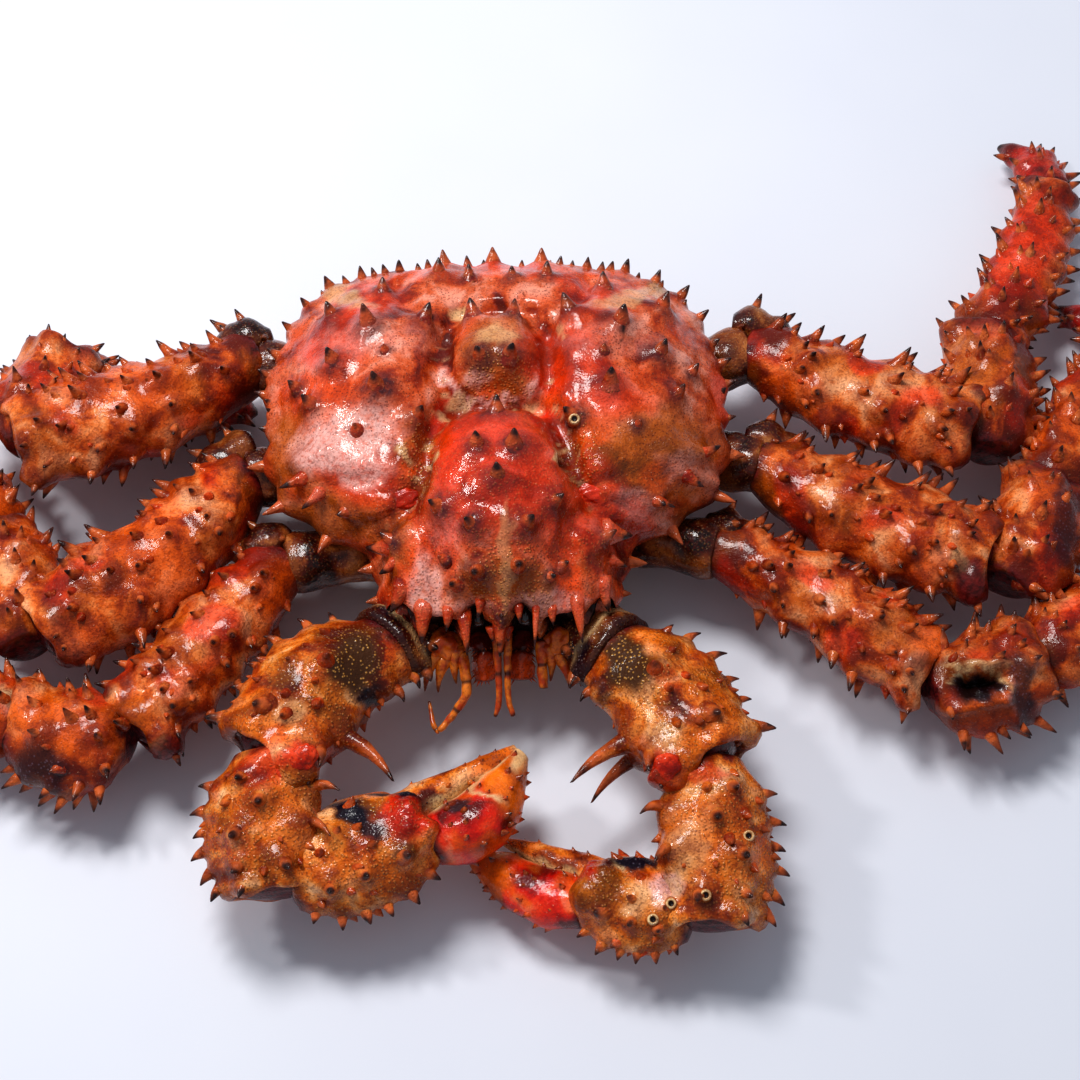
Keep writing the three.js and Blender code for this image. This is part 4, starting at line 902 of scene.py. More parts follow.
class Segment:
    """A tapering shell segment. Positive angles lie on the same side of the crab for either turn."""

    def __init__(self, start, end, profile, crest=(0, 0, 1), turn=1, bow=(0, 0, 0), scale=1.0):
        self.start, self.end = np.asarray(start, float), np.asarray(end, float)
        self.length = np.linalg.norm(self.end - self.start)
        self.cells = int(self.length / CELL)
        self.axis = unit(self.end - self.start)
        self.side = unit(np.cross(self.axis, crest))
        self.crest = np.cross(self.side, self.axis)
        self.profile = [[share, width * scale, height * scale] for share, width, height in profile]
        self.turn = turn
        self.bow = np.asarray(bow, float)

    def centre(self, share):
        share = np.asarray(share, float)[..., None]
        return self.start + (self.end - self.start) * share + self.bow * 4 * share * (1 - share)

    def point(self, share, angle):
        size = along_knots(self.profile, share)
        sin, cos = np.sin(angle), np.cos(angle)
        across = self.side * (size[..., 0] * sin)[..., None]
        return self.centre(share) + across + self.crest * (size[..., 1] * cos)[..., None]

    def spine(self, share, degrees, height, radius, lean, bow=0):
        """A spine square to the surface, which then leans towards the segment's end."""
        angle = math.radians(degrees) * self.turn
        step = 0.02
        along = self.point(share + step, angle) - self.point(share - step, angle)
        around = self.point(share, angle + step) - self.point(share, angle - step)
        direction = unit(unit(np.cross(around, along)) + self.axis * lean)
        away = -bow * (self.axis - direction * (self.axis @ direction))
        return make_spine(self.point(share, angle), direction, height, radius, away)

    def row_spines(self, rows, seed):
        """Spines in rows, each of them a little off its even place."""
        spines = []
        for row, (degrees, first, last, count, height) in enumerate(rows):
            for index in range(count):
                draw = seed + 17 * row + 3 * index
                share = first + (last - first) * (index + 0.35 * jitter(draw)) / max(count - 1, 1)
                tall = height * (1 + 0.25 * jitter(draw + 1))
                angle = degrees + 7 * jitter(draw + 2)
                size = (SPINE_GROWTH * tall, SPINE_WIDTH * tall + 0.7)
                spines.append(self.spine(share, angle, *size, ROW_LEAN))
        return spines

    def sized_spines(self, rows, scale=1):
        """Single spines that grow with the segment."""
        return [
            self.spine(share, angle, height * scale, radius * scale, lean, bow * scale)
            for share, angle, height, radius, lean, bow in rows
        ]


def segment_rings(segment, collar):
    """Rings of a segment's skin: [share of the length, scale of the ring, shift along the axis]."""
    root_height, tip_height = segment.profile[0][2], segment.profile[-1][2]
    dome = np.radians([80, 66, 52, 40, 28, 16])
    root = [[0, math.cos(turn), -0.25 * root_height * math.sin(turn)] for turn in dome]
    shaft = [[share, 1, 0] for share in np.linspace(0, 1, segment.cells)]
    if collar:
        rim = [[1, 0.99, 0.6], [1, 0.96, 1.0], [1, 0.91, 1.0], [1, 0.87, 0.4], [1, 0.83, 0.0], [1, 0.76, 0.2]]
        end = rim + [[1, size, 0.25 * tip_height * (1 - size**2)] for size in (0.66, 0.54, 0.4, 0.25, 0.12)]
    else:
        end = [[1, math.cos(turn), 0.25 * tip_height * math.sin(turn)] for turn in dome[::-1]]
    return np.array(root + shaft + end).T


def add_segment(skin, segment, spines, paint, seed, node="", lumpiness=1.0, collar=True, lobes=()):
    """A segment's skin: a domed root, the shaft, and a rim with the joint skin set back inside it."""
    girth = 2 * math.pi * max(size for knot in segment.profile for size in knot[1:])
    share, scale, shift = segment_rings(segment, collar)
    angle = 2 * np.pi * np.arange(int(girth / CELL)) / int(girth / CELL)
    grid = segment.point(share[:, None], angle[None, :])
    middle = segment.centre(share)[:, None]
    grid = middle + (grid - middle) * scale[:, None, None] + segment.axis * shift[:, None, None]
    normals = grid_normals(grid)
    on_shell = smooth(0.8, 1.0, scale)[:, None]
    rise, near = mounds(grid, spines)
    relief = rise + lumpiness * (0.35 * ripple(grid, 9, seed) + 0.16 * ripple(grid, 4, seed + 1))
    if collar:
        relief = relief + 0.8 * smooth(0.93, 0.99, share)[:, None] * (1 + 0.8 * ripple(grid, 6, seed + 2))
        relief = relief - 0.6 * (smooth(0.86, 0.9, share) * smooth(0.94, 0.9, share))[:, None]
    for lobe_share, lobe_angle, size, height in lobes:
        centre = segment.point(lobe_share, math.radians(lobe_angle) * segment.turn)
        distance = np.linalg.norm(grid - centre, axis=-1)
        relief = relief + height * np.exp(-((distance / size) ** 4))
    local, raised = local_features(node, grid, normals)
    moved = grid + normals * ((relief + raised) * on_shell)[..., None]
    root = smooth(0.06, 0.0, share)[:, None] * (0.8 + 0.3 * ripple(grid, 5, seed + 4))
    marks = dict(
        halo=near * on_shell * (1 + 0.3 * ripple(grid, 3, seed + 3)),
        joint=np.maximum(smooth(0.93, 0.84, scale)[:, None], root),
        pale=0.5 * smooth(-0.35, -0.8, normals[..., 2]),
    )
    signed = np.degrees((angle + np.pi) % (2 * np.pi) - np.pi)[None, :] * segment.turn
    marks = strongest(marks, paint(share[:, None], signed, grid, seed), local)
    start = segment.centre(0) - segment.axis * 0.25 * segment.profile[0][2]
    stop = segment.centre(1) + segment.axis * 0.25 * segment.profile[-1][2]
    skin.add_tube(moved, start, stop, **marks)
    for spine in spines:
        add_spine(skin, spine)


def paint_leg(share, angle, points, seed):
    """Tan to orange brown, with red patches, and dark red brown as painted shade at the root and along the
    lower edges.
    """
    patch, broad = ripple(points, 11, seed + 11), ripple(points, 26, seed + 12)
    root = smooth(0.3, 0.02, share)
    edge = smooth(70, 105, np.abs(angle) + 10 * patch)
    return dict(
        red=0.75 * smooth(0.15, 0.9, patch) * smooth(-0.8, 0.4, broad),
        orange=0.7 * smooth(0.2, 0.9, -broad),
        # Painted shade at the root and along the lower sides.
        deep=np.maximum(0.75 * root, 0.55 * edge) * (1 + 0.3 * patch),
        brown=0.6 * smooth(0.1, 0.8, ripple(points, 16, seed + 13)),
        joint=0.85 * smooth(0.9, 0.99, share + 0.03 * patch) * smooth(-0.5, 0.3, patch),
    )


def paint_toe(share, angle, points, seed):
    """Red, with dark patches and a dark tip."""
    patch = ripple(points, 12, seed + 11)
    return dict(
        red=0.6 + 0.4 * patch,
        tip=smooth(0.8, 0.97, share + 0.05 * patch),
        deep=0.4 * smooth(0, 0.8, -patch),
    )


def paint_hip(share, angle, points, seed):
    """Dark brown, slightly beaded, with orange patches."""
    patch = ripple(points, 9, seed + 11)
    return dict(
        orange=0.6 * smooth(0.3, 1.0, patch),
        deep=0.7 * smooth(-0.1, 0.7, -patch),
        beads=0.3,
    )


def paint_claw_root(share, angle, points, seed):
    """Dark olive brown, beaded, with a cream seam before the joint."""
    patch = ripple(points, 7, seed + 11)
    seam = np.exp(-(((share + 0.02 * patch - 0.8) / 0.035) ** 2))
    return dict(
        cream=0.7 * seam,
        beads=0.9,
        deep=0.8 * smooth(-0.2, 0.6, patch),
        brown=0.8 * smooth(-0.1, 0.8, -patch),
        blue=0.8 * smooth(0.5, 1.0, patch),
        joint=0.8 * smooth(0.9, 1.0, share),
    )


def paint_claw(share, angle, points, seed):
    """Orange to yellowish brown, beaded all over, with painted shade along the lower edges and at the root.
    """
    patch, broad = ripple(points, 9, seed + 11), ripple(points, 20, seed + 12)
    edge = smooth(70, 110, np.abs(angle) + 10 * patch)
    return dict(
        orange=0.7 * smooth(0.0, 0.9, broad),
        brown=0.7 * smooth(0.1, 0.9, patch),
        # Painted shade along the lower sides and at the root.
        deep=np.maximum(0.45 * edge, 0.4 * smooth(0.12, 0.02, share)),
        beads=0.45 + 0.35 * patch,
        red=0.4 * smooth(0.5, 1.2, -patch),
    )


def paint_finger(edge_angle):
    """Red shell, orange towards the tip, with a cream biting edge and dark freckles."""

    def paint(share, angle, points, seed):
        patch = ripple(points, 6, seed + 11)
        edge = smooth(48, 22, np.abs((angle - edge_angle + 180) % 360 - 180) + 8 * patch)
        return dict(
            cream=0.9 * edge * smooth(0.12, 0.3, share) + 0.7 * smooth(0.94, 1.0, share),
            orange=np.maximum(smooth(0.45, 0.85, share + 0.08 * patch), 0.5 * smooth(0.2, 0.8, patch)),
            deep=0.45 * smooth(0.2, 0.9, -patch) * smooth(0.7, 0.4, share),
        )

    return paint


# ---------------------------------------------------------------- carapace


def carapace_width(y):
    return CARAPACE_HALF_WIDTH * along_knots(CARAPACE_STATIONS, y)[..., 0]


def margin_height(y):
    return along_knots(CARAPACE_STATIONS, y)[..., 2]


def groove_dips(x, y):
    """How deep each of the grooves is at places on the +X half."""
    for depth, half_width, path in GROOVES:
        yield depth * np.exp(-((distance_to_path(x, y, path) / half_width) ** 2))


def crown(x, y):
    """Height of the carapace's upper skin."""
    x, y = np.broadcast_arrays(np.abs(np.asarray(x, float)), np.asarray(y, float))
    station = along_knots(CARAPACE_STATIONS, y)
    crest, margin = station[..., 1], station[..., 2]
    edge = np.minimum(x / carapace_width(y), 1)
    relief = np.zeros(x.shape)
    for centre_x, centre_y, across, along, height in SWELLINGS:
        reach = np.hypot((x - centre_x) / across, (y - centre_y) / along)
        relief += height * np.exp(-((1.2 * reach) ** 4))
    for dip in groove_dips(x, y):
        relief -= dip
    return margin + (crest - margin) * np.sqrt(1 - edge**2.6) + relief * (1 - edge**6)


def crown_normal(x, y):
    step = 1.5
    slope_x = (crown(x + step, y) - crown(x - step, y)) / (2 * step)
    slope_y = (crown(x, y + step) - crown(x, y - step)) / (2 * step)
    return unit([-float(slope_x), -float(slope_y), 1])


def sides(x):
    return [0] if x == 0 else [x, -x]


def carapace_spines():
    """The spines of the crown, the margin and the edges."""
    spines = []
    for index, (x, y, height) in enumerate(sorted(CROWN_SPINES, key=lambda row: row[2] < TALL_SPINE)):
        for side in sides(x):
            draw = 900 + 5 * index + int(np.sign(side))
            place_x = side + (1.6 * jitter(draw) if x else 0)
            place_y = y + 1.4 * jitter(draw + 40)
            tall = height * (1 + 0.12 * jitter(draw + 80))
            root = [place_x, place_y, float(crown(place_x, place_y))]
            halo = 0.75 + 0.25 * jitter(draw + 120)
            normal = unit(crown_normal(place_x, place_y) + np.array([0, 0.35, 0]))
            size = (SPINE_GROWTH * tall, 0.36 * tall + 0.8)
            spines.append(make_spine(root, normal, *size, halo=halo, red=0.4))
    for index, (y, height, rise) in enumerate(MARGIN_SPINES):
        for side in (1, -1):
            tall = height * (1 + 0.12 * jitter(700 + 2 * index + side))
            slope = float(carapace_width(y + 1) - carapace_width(y - 1)) / 2
            direction = [side, -slope, rise * math.hypot(1, slope)]
            root = [side * (float(carapace_width(y)) - 1), y, float(margin_height(y)) + 1]
            dark = 1.0 if y > 0 else 0.5
            spines.append(make_spine(root, direction, tall, 0.3 * tall, halo=0.3, dark=dark))
    for x, y, z, (dx, dy, dz), height, radius in EDGE_SPINES:
        for side in sides(x):
            direction = [np.sign(side) * dx, dy, dz]
            spines.append(make_spine([side, y, z], direction, height, radius, halo=0.2, dark=0.6))
    return spines


def small_rear_spines():
    """The small spines between the large ones of the rear edge."""
    spines = []
    large = np.array([
        [side * (float(carapace_width(y)) - 1), y] for y, _, _ in MARGIN_SPINES for side in (1, -1)
    ])
    draw = np.random.default_rng(77)
    angle = np.linspace(0, np.pi, 400)
    edge_y = REAR_END * np.sin(angle)
    edge = np.column_stack([np.sign(np.cos(angle)) * (carapace_width(edge_y) - 1.5), edge_y])
    walked = np.concatenate([[0], np.cumsum(np.linalg.norm(np.diff(edge, axis=0), axis=1))])
    for place in np.arange(2, walked[-1], REAR_STEP):
        x, y = (np.interp(place + draw.uniform(-1.5, 1.5), walked, edge[:, part]) for part in (0, 1))
        tall, rise = draw.uniform(4.0, 7.5), draw.uniform(0.6, 1.6)
        if np.min(np.hypot(large[:, 0] - x, large[:, 1] - y)) > 3.4:
            z = float(margin_height(y)) + draw.uniform(1.5, 4)
            direction = [0.6 * x / 60, max(y, 0) / 60, rise]
            spines.append(make_spine([x, y, z], direction, tall, 0.34 * tall, halo=0.1))
    return spines


def carapace_grid():
    """Rings from the snout to the tail, over the crown and back under the belly, and the two poles."""
    ys = np.arange(CARAPACE_STATIONS[0][0], CARAPACE_STATIONS[-1][0] + 0.1, CARAPACE_CELL)
    across = int(2.5 * CARAPACE_HALF_WIDTH / CARAPACE_CELL)
    edge = np.sin(np.pi / 2 * np.linspace(-1, 1, across))
    under = along_knots(CARAPACE_UNDERSIDE, np.linspace(0.02, 0.5, 26))
    under = np.concatenate([under, (under * [-1, 1])[-2::-1]])
    width, margin = carapace_width(ys)[:, None], margin_height(ys)[:, None]
    x = np.concatenate([width * edge, width * under[:, 0]], axis=1)
    bottom = margin - (margin - CARAPACE_FLOOR) * under[:, 1]
    z = np.concatenate([crown(width * edge, ys[:, None]), bottom], axis=1)
    grid = np.stack([x, np.broadcast_to(ys[:, None], x.shape), z], axis=-1)
    caps = np.arccos(np.linspace(0.04, 0.985, 22))

    def cap(ring, pole, angle, bulge):
        """A ring drawn in towards a pole, over a bulge."""
        return pole + (ring - pole) * [math.cos(angle), 1, math.cos(angle)] + [0, bulge * math.sin(angle), 0]

    head, tail = np.array([0, ys[0], 47]), np.array([0, ys[-1], 44])
    front = [cap(grid[0], head, angle, -2) for angle in caps]
    back = [cap(grid[-1], tail, angle, 1.5) for angle in caps[::-1]]
    return np.concatenate([front, grid, back]), head - [0, 2, 0], tail + [0, 1.5, 0]


def sink_orbits(points, y):
    """Presses the eyes' hollows into the carapace, and tells where they are."""
    hollow = np.zeros(y.shape)
    for side in (1, -1):
        centre, radii = np.array(ORBIT[0]) * [side, 1, 1], np.array(ORBIT[1])
        reach = (points - centre) / radii
        sunk = (np.linalg.norm(reach, axis=-1) < 1) & (y < -80)
        depth = radii[1] * np.sqrt(np.maximum(1 - reach[..., 0] ** 2 - reach[..., 2] ** 2, 0))
        points[..., 1] = np.where(sunk, centre[1] + depth, points[..., 1])
        hollow = np.maximum(hollow, sunk)
    return hollow


def brow_hollows(x, y, z, normals):
    """Where the arches under the brow lie, and the recess below them, from 0 to 1."""
    arches = [np.exp(-(((np.abs(x) - middle) / width) ** 4)) for middle, width in BROW_ARCHES]
    recess = smooth(47, 43, z) * (np.abs(x) < 46)
    hollow = np.maximum(np.max(arches, axis=0) * smooth(57, 53, z), recess)
    return hollow * smooth(-0.05, 0.35, -normals[..., 1]) * smooth(-78, -84, y)


def paint_carapace(grid, normals, groove):
    """Red on the dome, brown on the flanks, cream bits in the grooves, and painted shade in the grooves and
    low on the sides.
    """
    x, y, z = np.moveaxis(grid, -1, 0)
    bits = smooth(0.6, 1.0, ripple(grid, 3, 7)) * smooth(0.4, 0.8, groove) * smooth(50, 15, np.abs(y + 12))
    dome = np.exp(-((np.hypot(x / 34, (y + 44) / 40)) ** 4))
    patch, broad = ripple(grid, 12, 4), ripple(grid, 28, 5)
    return dict(
        red=np.maximum(0.85 * dome * smooth(-78, -60, y), 0.7 * smooth(0.1, 0.9, broad)),
        orange=0.5 * smooth(0.1, 0.9, patch),
        brown=0.7 * smooth(0.2, 1.0, -patch) * smooth(10, -30, y),
        cream=0.5 * bits,
        # Painted shade in the grooves and on the lower sides.
        deep=np.maximum(0.75 * groove * smooth(-0.6, 0.5, ripple(grid, 5, 8)), 0.8 * smooth(52, 38, z)),
        beads=0.25 * smooth(50, 70, y) + 0.3 * smooth(0, -60, y),
        pale=0.5 * smooth(-0.3, -0.8, normals[..., 2]),
    )


def carapace():
    skin = Skin()
    grid, front, back = carapace_grid()
    spines = carapace_spines() + small_rear_spines() + seen_spines(grid)
    normals = grid_normals(grid)
    x, y, z = np.moveaxis(grid, -1, 0)
    upper = smooth(40, 50, z)
    groove = np.max(list(groove_dips(np.abs(x), y)), axis=0) / 6
    rise, near = mounds(grid, spines)
    local, raised = local_features("carapace", grid, normals, body=True)
    rough = 0.5 * ripple(grid, 15, 1) + 0.28 * ripple(grid, 6, 2) + 0.12 * ripple(grid, 3, 3)
    relief = rise + upper * rough + raised * (z > 50) - upper * 1.2 * np.clip(groove, 0, 1)
    moved = grid + normals * relief[..., None]
    orbits = sink_orbits(moved, y)
    hollow = brow_hollows(x, y, z, normals)
    moved[..., 1] += BROW_DEPTH * hollow
    # Halos round the spines, and black as painted shade in the eyes' hollows and in the recesses under the
    # brow.
    shade = dict(
        halo=near * upper * (1 + 0.3 * ripple(grid, 3, 4)),
        dark=np.maximum(orbits, smooth(0.2, 0.7, hollow)),
    )
    skin.add_tube(moved, front, back, **strongest(shade, paint_carapace(grid, normals, groove), local))
    for spine in spines:
        add_spine(skin, spine)
    return skin


# ---------------------------------------------------------------- underside


def ring_angles(corners):
    return np.linspace(0, 2 * np.pi, corners, endpoint=False)[None, :]


def thorax():
    """The breastplate: a flattened tube with a groove behind each pair of legs."""
    skin = Skin()
    ys = np.linspace(THORAX_STATIONS[0][0], THORAX_STATIONS[-1][0], 90)
    width, floor = along_knots(THORAX_STATIONS, ys).T[:, :, None]
    angle = ring_angles(120)
    middle, depth = (THORAX_ROOF + floor) / 2, (THORAX_ROOF - floor) / 2
    z = middle + depth * np.clip(1.15 * np.cos(angle), -1, 1)
    grid = np.stack(np.broadcast_arrays(width * np.sin(angle), ys[:, None], z), axis=-1)
    slant = grid[..., 1] + 0.18 * np.abs(grid[..., 0])
    seam = np.exp(-((((slant + 8) % 21 - 10.5) / 1.6) ** 2))
    moved = grid + grid_normals(grid) * (0.4 * ripple(grid, 8, 21) - 1.5 * seam)[..., None]
    moved[..., 2] = np.clip(moved[..., 2], 3.6, THORAX_ROOF)
    skin.add_tube(
        moved, [0, ys[0] - 1, 22], [0, ys[-1] + 1, 20],
        dark=0.6 * seam,
        cream=0.6 + 0.4 * ripple(grid, 10, 22),
        red=smooth(30, 52, np.abs(grid[..., 0])) * (0.6 + 0.4 * ripple(grid, 6, 23)),
        joint=0.7 * smooth(18, 28, grid[..., 2]),
    )
    return skin


def tail_flap():
    """The folded tail: plates that overlap like tiles, flat where the crab rests on them."""
    skin = Skin()
    ys = np.linspace(FLAP_STATIONS[0][0], FLAP_STATIONS[-1][0], 90)
    width = along_knots(FLAP_STATIONS, ys)
    sine, cosine = np.sin(ring_angles(110)), np.cos(ring_angles(110))
    x = width * np.sign(sine) * np.abs(sine) ** 0.7
    z = FLAP_THICKNESS / 2 * (1 + np.sign(cosine) * np.abs(cosine) ** 0.45)
    grid = np.stack(np.broadcast_arrays(x, ys[:, None], z), axis=-1)
    tile = ((grid[..., 1] + 0.12 * np.abs(x) ** 1.15 + 60) % 17) / 17
    seam = smooth(0.1, 0.0, tile)
    grid[..., 2] += np.where(grid[..., 2] > 3, -0.9, 0.7) * seam
    skin.add_tube(
        grid, [0, ys[0] - 0.5, 3], [0, ys[-1] + 0.5, 3],
        dark=0.7 * seam,
        cream=0.7 + 0.3 * ripple(grid, 9, 31),
        red=smooth(0.5, 1.0, np.abs(x) / width) * (0.7 + 0.3 * ripple(grid, 5, 32)),
    )
    return skin


def tail_base():
    skin = Skin()
    segment = Segment(profile=PROFILES["tail_base"], crest=(0, 1, 0), **TAIL_BASE)
    spines = [segment.spine(share, angle, 4, 1.6, 0) for share in (0.3, 0.7) for angle in (-50, -20, 15, 48)]
    add_segment(skin, segment, spines, paint_leg, 41, collar=False)
    return skin


# ---------------------------------------------------------------- face


def mirrored(points, side):
    return np.array(points, float) * [side, 1, 1]


def add_ellipsoid(skin, centre, radii, seed, cell=FACE_CELL, rough=0.0, **marks):
    grid, outward = ellipsoid_grid(centre, radii, cell)
    grid = grid + outward * (rough * ripple(grid, 2.5, seed))[..., None]
    pole = np.array([0, radii[1], 0])
    skin.add_tube(grid, centre - pole, centre + pole, **marks)


def add_feeler(skin, path, thick, thin, joints, seed, lit_tip_and_shaded_root=0.0, **marks):
    """A jointed rod along a path, pinched and darkened at each joint; the strength after the seed paints
    light on it, orange towards its far end, and shade towards its root.
    """
    places = np.concatenate([[0], np.cumsum(np.linalg.norm(np.diff(path, axis=0), axis=1))])
    count = max(8, int(places[-1] / FACE_CELL))
    travel = np.linspace(0, places[-1], count)
    middle = along_knots(np.column_stack([places, path]), travel)
    along = unit(np.gradient(middle, axis=0))
    up = unit(np.cross([1, 0.3, 0.2], along))
    share = travel / places[-1]
    pinch = np.abs(np.sin(np.pi * joints * share)) ** 0.3
    radius = (thick + (thin - thick) * share) * (0.8 + 0.2 * pinch)
    corners = max(8, int(2 * math.pi * thick / FACE_CELL))
    ring = circle(corners, up[:, None], np.cross(along, up)[:, None])
    grid = middle[:, None] + radius[:, None, None] * ring
    grid = grid + ring * (0.08 * thick * ripple(grid, 2.5, seed))[..., None]
    points = with_poles(grid, middle[0] - along[0] * 0.3, middle[-1] + along[-1] * 0.3)
    joint = np.concatenate([[0], np.repeat(0.9 * smooth(0.75, 0.45, pinch), corners), [0]])
    lower = np.concatenate([[0], np.repeat(smooth(0.45, 0.7, share), corners), [1]])
    # Painted light in orange towards the far end, and painted shade towards the root.
    skin.add(points, tube_faces(count, corners), dark=joint, orange=lit_tip_and_shaded_root * lower, deep=lit_tip_and_shaded_root * (1 - lower),
             **marks)


def eye(side):
    skin = Skin()
    add_ellipsoid(skin, mirrored(EYE[0], side), EYE[1], 51, cell=0.5, rough=0.05)
    return skin


def mouthpart(side):
    """A jaw foot: a jointed rod with a fringe of bristles."""
    skin = Skin()
    add_feeler(skin, mirrored(MOUTHPART, side), 5.6, 4.8, 2, 61, lit_tip_and_shaded_root=1.0, red=0.1)
    draw = np.random.default_rng(62 + side)
    for _ in range(BRISTLES):
        share, turn = draw.uniform(0.35, 1.0), draw.uniform(0, 2 * np.pi)
        place = along_knots(np.column_stack([[0, 0.5, 1], MOUTHPART]), share)
        outward = np.array([math.cos(turn), -0.2, math.sin(turn)])
        root = mirrored(place + outward * [4, 0, 4], side)
        direction = mirrored(outward, side) + [0, -0.6, -0.4]
        add_spine(skin, make_spine(root, direction, draw.uniform(1.6, 3.2), 0.35, halo=0, dark=0.4))
    return skin


def antennule(side):
    skin = Skin()
    add_feeler(skin, mirrored(ANTENNULE, side), 1.75, 1.05, 2, 71)
    return skin


def antenna(name, side):
    """A jointed rod on a rough lump with a few spines."""
    skin = Skin()
    path, thick, thin, joints = ANTENNAE[name]
    add_feeler(skin, mirrored(path, side), thick, thin, joints, 81)
    lump, radii = ANTENNA_LUMP
    add_ellipsoid(skin, mirrored(lump, side), radii, 82, rough=0.6, red=0.3)
    for root, tip in mirrored(ANTENNA_SPINES, side):
        height = float(np.linalg.norm(tip - root))
        look = dict(away=np.array([side * 0.8, 0, 1.2]), halo=0.2, dark=0.7)
        add_spine(skin, make_spine(root, tip - root, height, SPINE_WIDTH * height, **look))
    return skin


# ---------------------------------------------------------------- limbs


def hip(dimensions, turn, seed):
    """A leg's coxa, with the lump of the ischium on the tail side of the merus's root."""
    skin = Skin()
    stem = Segment(dimensions["coxa"], dimensions["hip"], PROFILES["coxa"], turn=turn)
    add_segment(skin, stem, [], paint_hip, seed, lumpiness=1.5, collar=False)
    merus = Segment(dimensions["hip"], dimensions["knee"], PROFILES["merus"], turn=turn)
    start, end = (
        merus.start + merus.axis * along - merus.side * turn * beside
        for along, beside in (ISCHIUM_ROOT, ISCHIUM_END)
    )
    lump = Segment(start, end, PROFILES["ischium"], turn=turn)
    spines = lump.row_spines(SPINE_ROWS["ischium"], seed) + scatter(lump, 6, seed + 1)
    add_segment(skin, lump, spines, paint_hip, seed + 2, lumpiness=1.8, collar=False)
    return skin


def leg_segments(dimensions, turn):
    """The segments from the hip to the tip of the toe, by name."""
    knee = np.array(dimensions["knee"], float) + dimensions["fold"]
    toe, tip = np.array(dimensions["toe"], float), np.array(dimensions["tip"], float)
    bend = {"dactyl": np.cross(tip - toe, [0, 0, DACTYL_HOOK * turn]), **dimensions["bend"]}
    ends = {
        "merus": (dimensions["hip"], dimensions["knee"]),
        "carpus": (knee, dimensions["ankle"]),
        "propodus": (dimensions["ankle"], toe),
        "dactyl": (toe, tip),
    }
    for name, (start, end) in ends.items():
        scale = dimensions["girth"].get(name, 1)
        yield name, Segment(start, end, PROFILES[name], turn=turn, bow=bend.get(name, (0, 0, 0)), scale=scale)


def build_legs(materials):
    for number, (leg, dimensions) in enumerate(LEGS.items()):
        turn = 1 if leg.startswith("left") else -1
        seed = 100 * (number + 1)
        hip(dimensions, turn, seed).build(f"leg_{leg}_coxa", materials["hip"], "hip_shell")
        for step, (name, segment) in enumerate(leg_segments(dimensions, turn)):
            node, toe, draw = f"leg_{leg}_{name}", name == "dactyl", seed + 31 * (step + 1)
            spines = segment.row_spines(SPINE_ROWS[name], draw)
            small = apart(segment.row_spines(SMALL_ROWS[name], draw + 500), spines, SMALL_SPACING)
            spines += [{**spine, "swell": SMALL_SWELL} for spine in small]
            area = segment.length * segment.profile[2][1]
            spines += scatter(segment, 5 if toe else int(area / TUBERCLE_AREA), draw, node=node)
            if node in BROKEN:
                spines = [spine for spine in spines if ellipse(*seen(spine["root"]), BROKEN[node]) > 1]
            skin = Skin()
            paint, lobes, kind = (paint_toe, [], "toe") if toe else (paint_leg, LEG_LOBES, "leg")
            add_segment(skin, segment, spines, paint, draw, node, collar=not toe, lobes=lobes)
            skin.build(node, materials[kind], kind + "_shell")


def add_finger(skin, finger, name, seed, node):
    """A claw's finger with dark dots and a biting edge."""
    dots = scatter(finger, seed=seed, **FINGER_DOTS[name])
    for dot in dots:
        dot.update(dark=1.6, red=0.0)
    add_segment(skin, finger, dots, paint_finger(BITING_EDGES[name]), seed + 1, node + name, collar=False)


def build_claws(materials):
    for hand, dimensions in CLAWS.items():
        turn, seed = (1, 1000) if hand == "left" else (-1, 1500)
        girth, bend = dimensions["girth"], dimensions["bend"]
        node = "claw_" + hand + "_"

        def segment(name, start, end, scale=1):
            bow = bend.get(name, (0, 0, 0))
            return Segment(start, end, PROFILES["claw_" + name], turn=turn, bow=bow, scale=scale)

        coxa = segment("coxa", dimensions["coxa"], dimensions["hip"])
        shells = {
            name: segment(name, dimensions[start], dimensions[end], girth[name])
            for name, (start, end) in CLAW_ENDS.items()
        }
        palm = shells["palm"]
        across = palm.side * turn * girth["palm"]
        pollex_root = palm.centre(0.85) + across * POLLEX_OFFSET
        thumb_root = palm.centre(1) - across * THUMB_OFFSET
        pollex = segment("pollex", pollex_root, dimensions["pollex"], girth["finger"])
        thumb = segment("thumb", thumb_root, dimensions["thumb"], girth["finger"])

        skin = Skin()
        spines = coxa.sized_spines(CLAW_SPINES["coxa"])
        add_segment(skin, coxa, spines, paint_claw_root, seed, node + "coxa", lumpiness=2.0, collar=False)
        skin.build(node + "coxa", materials["hip"], "hip_shell")

        for step, (name, shell) in enumerate(shells.items()):
            draw = seed + 1 + 2 * step
            spines = shell.sized_spines(CLAW_SPINES[name], girth[name])
            if name == "merus":
                spines += shell.sized_spines(REACHING_SPINES[hand])
            spines += scatter(shell, CLAW_TUBERCLES[name], draw, node=node + name)
            skin = Skin()
            add_segment(skin, shell, spines, paint_claw, draw + 1, node + name, lobes=CLAW_LOBES[name])
            if name == "palm":
                add_finger(skin, pollex, "pollex", seed + 7, node)
            skin.build(node + name, materials["claw"], "claw_shell")

        skin = Skin()
        add_finger(skin, thumb, "thumb", seed + 9, node)
        skin.build(node + "thumb", materials["finger"], "finger_shell")


# ---------------------------------------------------------------- materials

